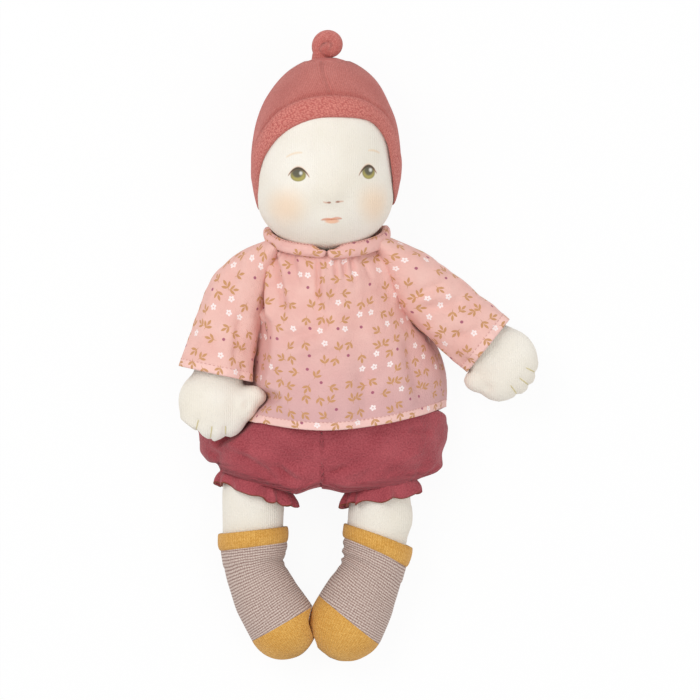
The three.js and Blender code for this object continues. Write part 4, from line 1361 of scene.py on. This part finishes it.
def waist_point(u, v):
    turn, around = u * TURN, v * TURN
    thick, tall = power_point(around, TAPE_HALF_THICKNESS, TAPE_HALF_WIDTH, TAPE_HALF_WIDTH, 3.0, 3.0)
    across, above = power_point(turn, 44.0 + thick, 28.0 + thick, 26.5 + thick, 2.05, 2.05)
    y = -25.5 + tall
    return Vector((across - 2.9, y, under_arm(across - 2.9, y, 32.4 + above, 4.5 - thick)))


for name, leg in LEGS.items():
    frill = wrapped_cloth(
        f"{name}_frill_gauze", 240, 14, lambda u, v: frill_point(leg, u, v), even_cloth(150.0, RUFFLE_LENGTH))
    give_wall(frill, 0.7)
    dress(frill, f"{name}_leg", raspberry_gauze, "raspberry_gauze", f"{name}_frill")
    rim = [frill_point(leg, k / 240, 1.0, -0.35) for k in range(241)]
    edge = thread_along(f"{name}_frill_overlock", rim, 0.42)
    dress(edge, f"{name}_leg", rust_thread, "raspberry_gauze")
    tape = wrapped_cloth(
        f"{name}_leg_elastic_tape", 96, 16, lambda u, v: elastic_point(leg, u, v), even_cloth(105.0, 5.0))
    dress(tape, f"{name}_leg", elastic, "elastic", f"{name}_leg_elastic")

waist = wrapped_cloth("waist_elastic_tape", 128, 16, waist_point, even_cloth(230.0, 5.0))
dress(waist, "torso", elastic, "elastic", "waist_elastic")

# %% [markdown]
# ## Legs and socks
# A leg is a stuffed tube that turns in at the foot. The sock is one knitted tube along the same
# path: a rolled mustard cuff, a finely striped leg with a welt and wrinkles at the ankle, and a
# mustard toe that is cut from the same tube by a slanting plane. The feet press each other flat.

# %% Socks
CUFF = 9.0
WRINKLE_SPACING = 6.4
FEET_MEET = [  # y, x
    [-120, -6.2], [-136.5, -6.2], [-141, -7.5], [-147, -8.7], [-151, -7.6], [-159, -4.6], [-166, -3.0],
]


def pressed(leg, place, gap):
    """Keeps a point off the table and on its own side of the slanting line where the feet meet."""
    meets = smooth_rows(FEET_MEET, place.y)[0] + leg["side"] * gap
    x = max(place.x, meets) if leg["side"] > 0 else min(place.x, meets)
    return Vector((x, place.y, max(place.z, 0.05)))


def sock_point(leg, rows, start, end, u, v):
    turn = u * TURN
    lean = leg["cuff"]["lean"] * math.cos(turn)
    length = start + (end - start) * v + lean * (1 - v)
    below_cuff = (end - start) * v
    bend = math.exp(-(((below_cuff - 16) / 8.5) ** 2)) * smooth_step(5.0, 9.0, below_cuff)
    inner = max(0.0, math.cos(turn) * leg["side"]) + 0.4 * max(0.0, math.sin(turn))
    rings = 0.45 + 0.55 * math.sin(below_cuff * TURN / WRINKLE_SPACING + 1.4 * math.sin(turn))
    wrinkle = leg["wrinkle"] * bend * inner * rings
    welt = 0.55 * smooth_step(13.8, 12.8, below_cuff) * smooth_step(4.5, 7.5, below_cuff)
    lump = 0.5 * crinkle(math.cos(turn) * 14, below_cuff, math.sin(turn) * 14, 11.0, leg["side"])
    return pressed(leg, tube_point(rows, length, turn, 1.4 + wrinkle + welt + lump), 0.04)


def cuff_point(leg, rows, u, v):
    turn, around = u * TURN, v * TURN
    thick, tall = power_point(around, 1.1, CUFF / 2, CUFF / 2, 2.6, 2.6)
    ripple = 0.35 * crinkle(math.cos(turn) * 9, tall, math.sin(turn) * 9, 5.0, 2.0)
    at = leg["path"][0][1] - leg["cuff"]["top"] + leg["cuff"]["lean"] * math.cos(turn)
    return pressed(leg, tube_point(rows, at + CUFF / 2 + tall, turn, 1.5 + thick + ripple), 0.04)


for name, leg in LEGS.items():
    form = soft_copy(f"{name}_leg", f"{name}_leg_form", 2.0, 6, swell=0.3, lobes=leg["lobes"])
    dress(form, None, skin, "skin", f"{name}_leg")
    for vertex in form.data.vertices:
        x, y, z = (value / MM for value in vertex.co)
        middle_x, middle_z = leg_middle(leg, y)
        drawn = 1 - 0.06 * math.exp(-(((y - slanted(leg, x, leg["frill"]["y"] - 2.0)) / 4.5) ** 2))
        cuff_top = leg["cuff"]["top"]
        drawn -= 0.06 * smooth_step(cuff_top - 4.0, cuff_top - 9.0, y) * smooth_step(-126, -119, y)
        vertex.co = Vector((middle_x + (x - middle_x) * drawn, y, middle_z + (z - middle_z) * drawn)) * MM
    across_hip(form)
    rows = path_rows(leg["path"])
    start = leg["path"][0][1] - leg["cuff"]["top"] + 3.0
    end = rows[-1][0] + (rows[-1][4] + 1.6) * math.pi / 2
    sock = wrapped_cloth(
        f"{name}_sock_whole", 110, 130, lambda u, v: sock_point(leg, rows, start, end, u, v),
        even_cloth(100.0, end - start))
    normal = Vector((*leg["toe_normal"], 0))
    for part, keep_toe, material, slot in (
        ("sock_leg", False, striped_knit, "striped_knit"), ("sock_toe", True, mustard_knit, "mustard_knit"),
    ):
        form = bmesh.new()
        form.from_mesh(sock.data)
        bmesh.ops.bisect_plane(
            form, geom=[*form.verts, *form.edges, *form.faces], plane_co=normal * leg["toe_offset"] * MM,
            plane_no=normal, clear_inner=keep_toe, clear_outer=not keep_toe)
        piece = finished_piece(f"{name}_{part}_knit", form)
        give_wall(piece, 0.9)
        dress(piece, f"{name}_leg", material, slot, f"{name}_{part}")
    bpy.data.objects.remove(sock)

    cuff = wrapped_cloth(
        f"{name}_sock_cuff_knit", 96, 28, lambda u, v: cuff_point(leg, rows, u, v), even_cloth(104.0, 20.0))
    dress(cuff, f"{name}_leg", mustard_knit, "mustard_knit", f"{name}_sock_cuff")

# %% [markdown]
# ## Light, floor and camera
# The doll is seen from straight above through a long lens, on a white table. Soft light comes from
# above and from the picture's upper left, so that the folds show. The table is white to the camera
# and keeps a faint shadow.

# %% Stage
table_material, table_tree = new_material("white table")
diffuse = add_node(table_tree, "BsdfDiffuse", {"Color": colour("#f4f4f4")})
glow = add_node(table_tree, "Emission", {"Color": (1.0, 1.0, 1.0, 1.0), "Strength": 1.0})
ray = add_node(table_tree, "LightPath")
seen = add_node(table_tree, "Math", {
    0: ray["Is Camera Ray"], 1: ray["Is Glossy Ray"]}, operation="MAXIMUM")
seen = add_node(table_tree, "Math", {
    0: seen[0], 1: ray["Is Transmission Ray"]}, operation="MAXIMUM")
share = add_node(table_tree, "Math", {0: seen[0], 1: 0.93}, operation="MULTIPLY")
mixed = add_node(table_tree, "MixShader", {0: share[0], 1: diffuse[0], 2: glow[0]})
add_node(table_tree, "OutputMaterial", {"Surface": mixed[0]})

form = bmesh.new()
bmesh.ops.create_grid(form, x_segments=1, y_segments=1, size=6.0)
bmesh.ops.translate(form, verts=form.verts, vec=(0, 0, -0.0002))
table = finished_piece("table", form)
table.data.materials.append(table_material)

world = bpy.data.worlds.new("soft room")
bpy.context.scene.world = world
world.use_nodes = True
world.node_tree.nodes.clear()
ray = add_node(world.node_tree, "LightPath")
room = add_node(world.node_tree, "Background", {"Color": (1.0, 1.0, 1.0, 1.0), "Strength": 0.7})
white = add_node(world.node_tree, "Background", {"Color": (1.0, 1.0, 1.0, 1.0), "Strength": 1.0})
seen = add_node(world.node_tree, "Math", {
    0: ray["Is Camera Ray"], 1: ray["Is Transmission Ray"]}, operation="MAXIMUM")
mixed = add_node(world.node_tree, "MixShader", {0: seen[0], 1: room[0], 2: white[0]})
add_node(world.node_tree, "OutputWorld", {"Surface": mixed[0]})


def soft_lamp(name, place, target, size, power):
    lamp = bpy.data.lights.new(name, "AREA")
    lamp.size = size
    lamp.energy = power
    holder = bpy.data.objects.new(name, lamp)
    holder.location = place
    holder.rotation_euler = (Vector(target) - Vector(place)).to_track_quat("-Z", "Y").to_euler()
    bpy.context.scene.collection.objects.link(holder)


soft_lamp("key", (-0.75, 0.65, 1.5), (0, 0, 0), 0.9, 9.5)
soft_lamp("fill", (0.8, -0.2, 1.8), (0, 0, 0), 1.2, 6.5)

# %% Camera
PICTURE_WIDTH = 0.371
PICTURE_MIDDLE = (0.01325, -0.00265)
CAMERA_HEIGHT, SHARP_HEIGHT = 4.0, 0.035
camera = bpy.data.cameras.new("camera")
camera.sensor_width = 36.0
camera.lens = 36.0 * CAMERA_HEIGHT / PICTURE_WIDTH
camera.clip_end = 50.0
eye = bpy.data.objects.new("camera", camera)
eye.location = (*PICTURE_MIDDLE, SHARP_HEIGHT + CAMERA_HEIGHT)
bpy.context.scene.collection.objects.link(eye)
bpy.context.scene.camera = eye
bpy.context.scene.view_settings.view_transform = "Standard"
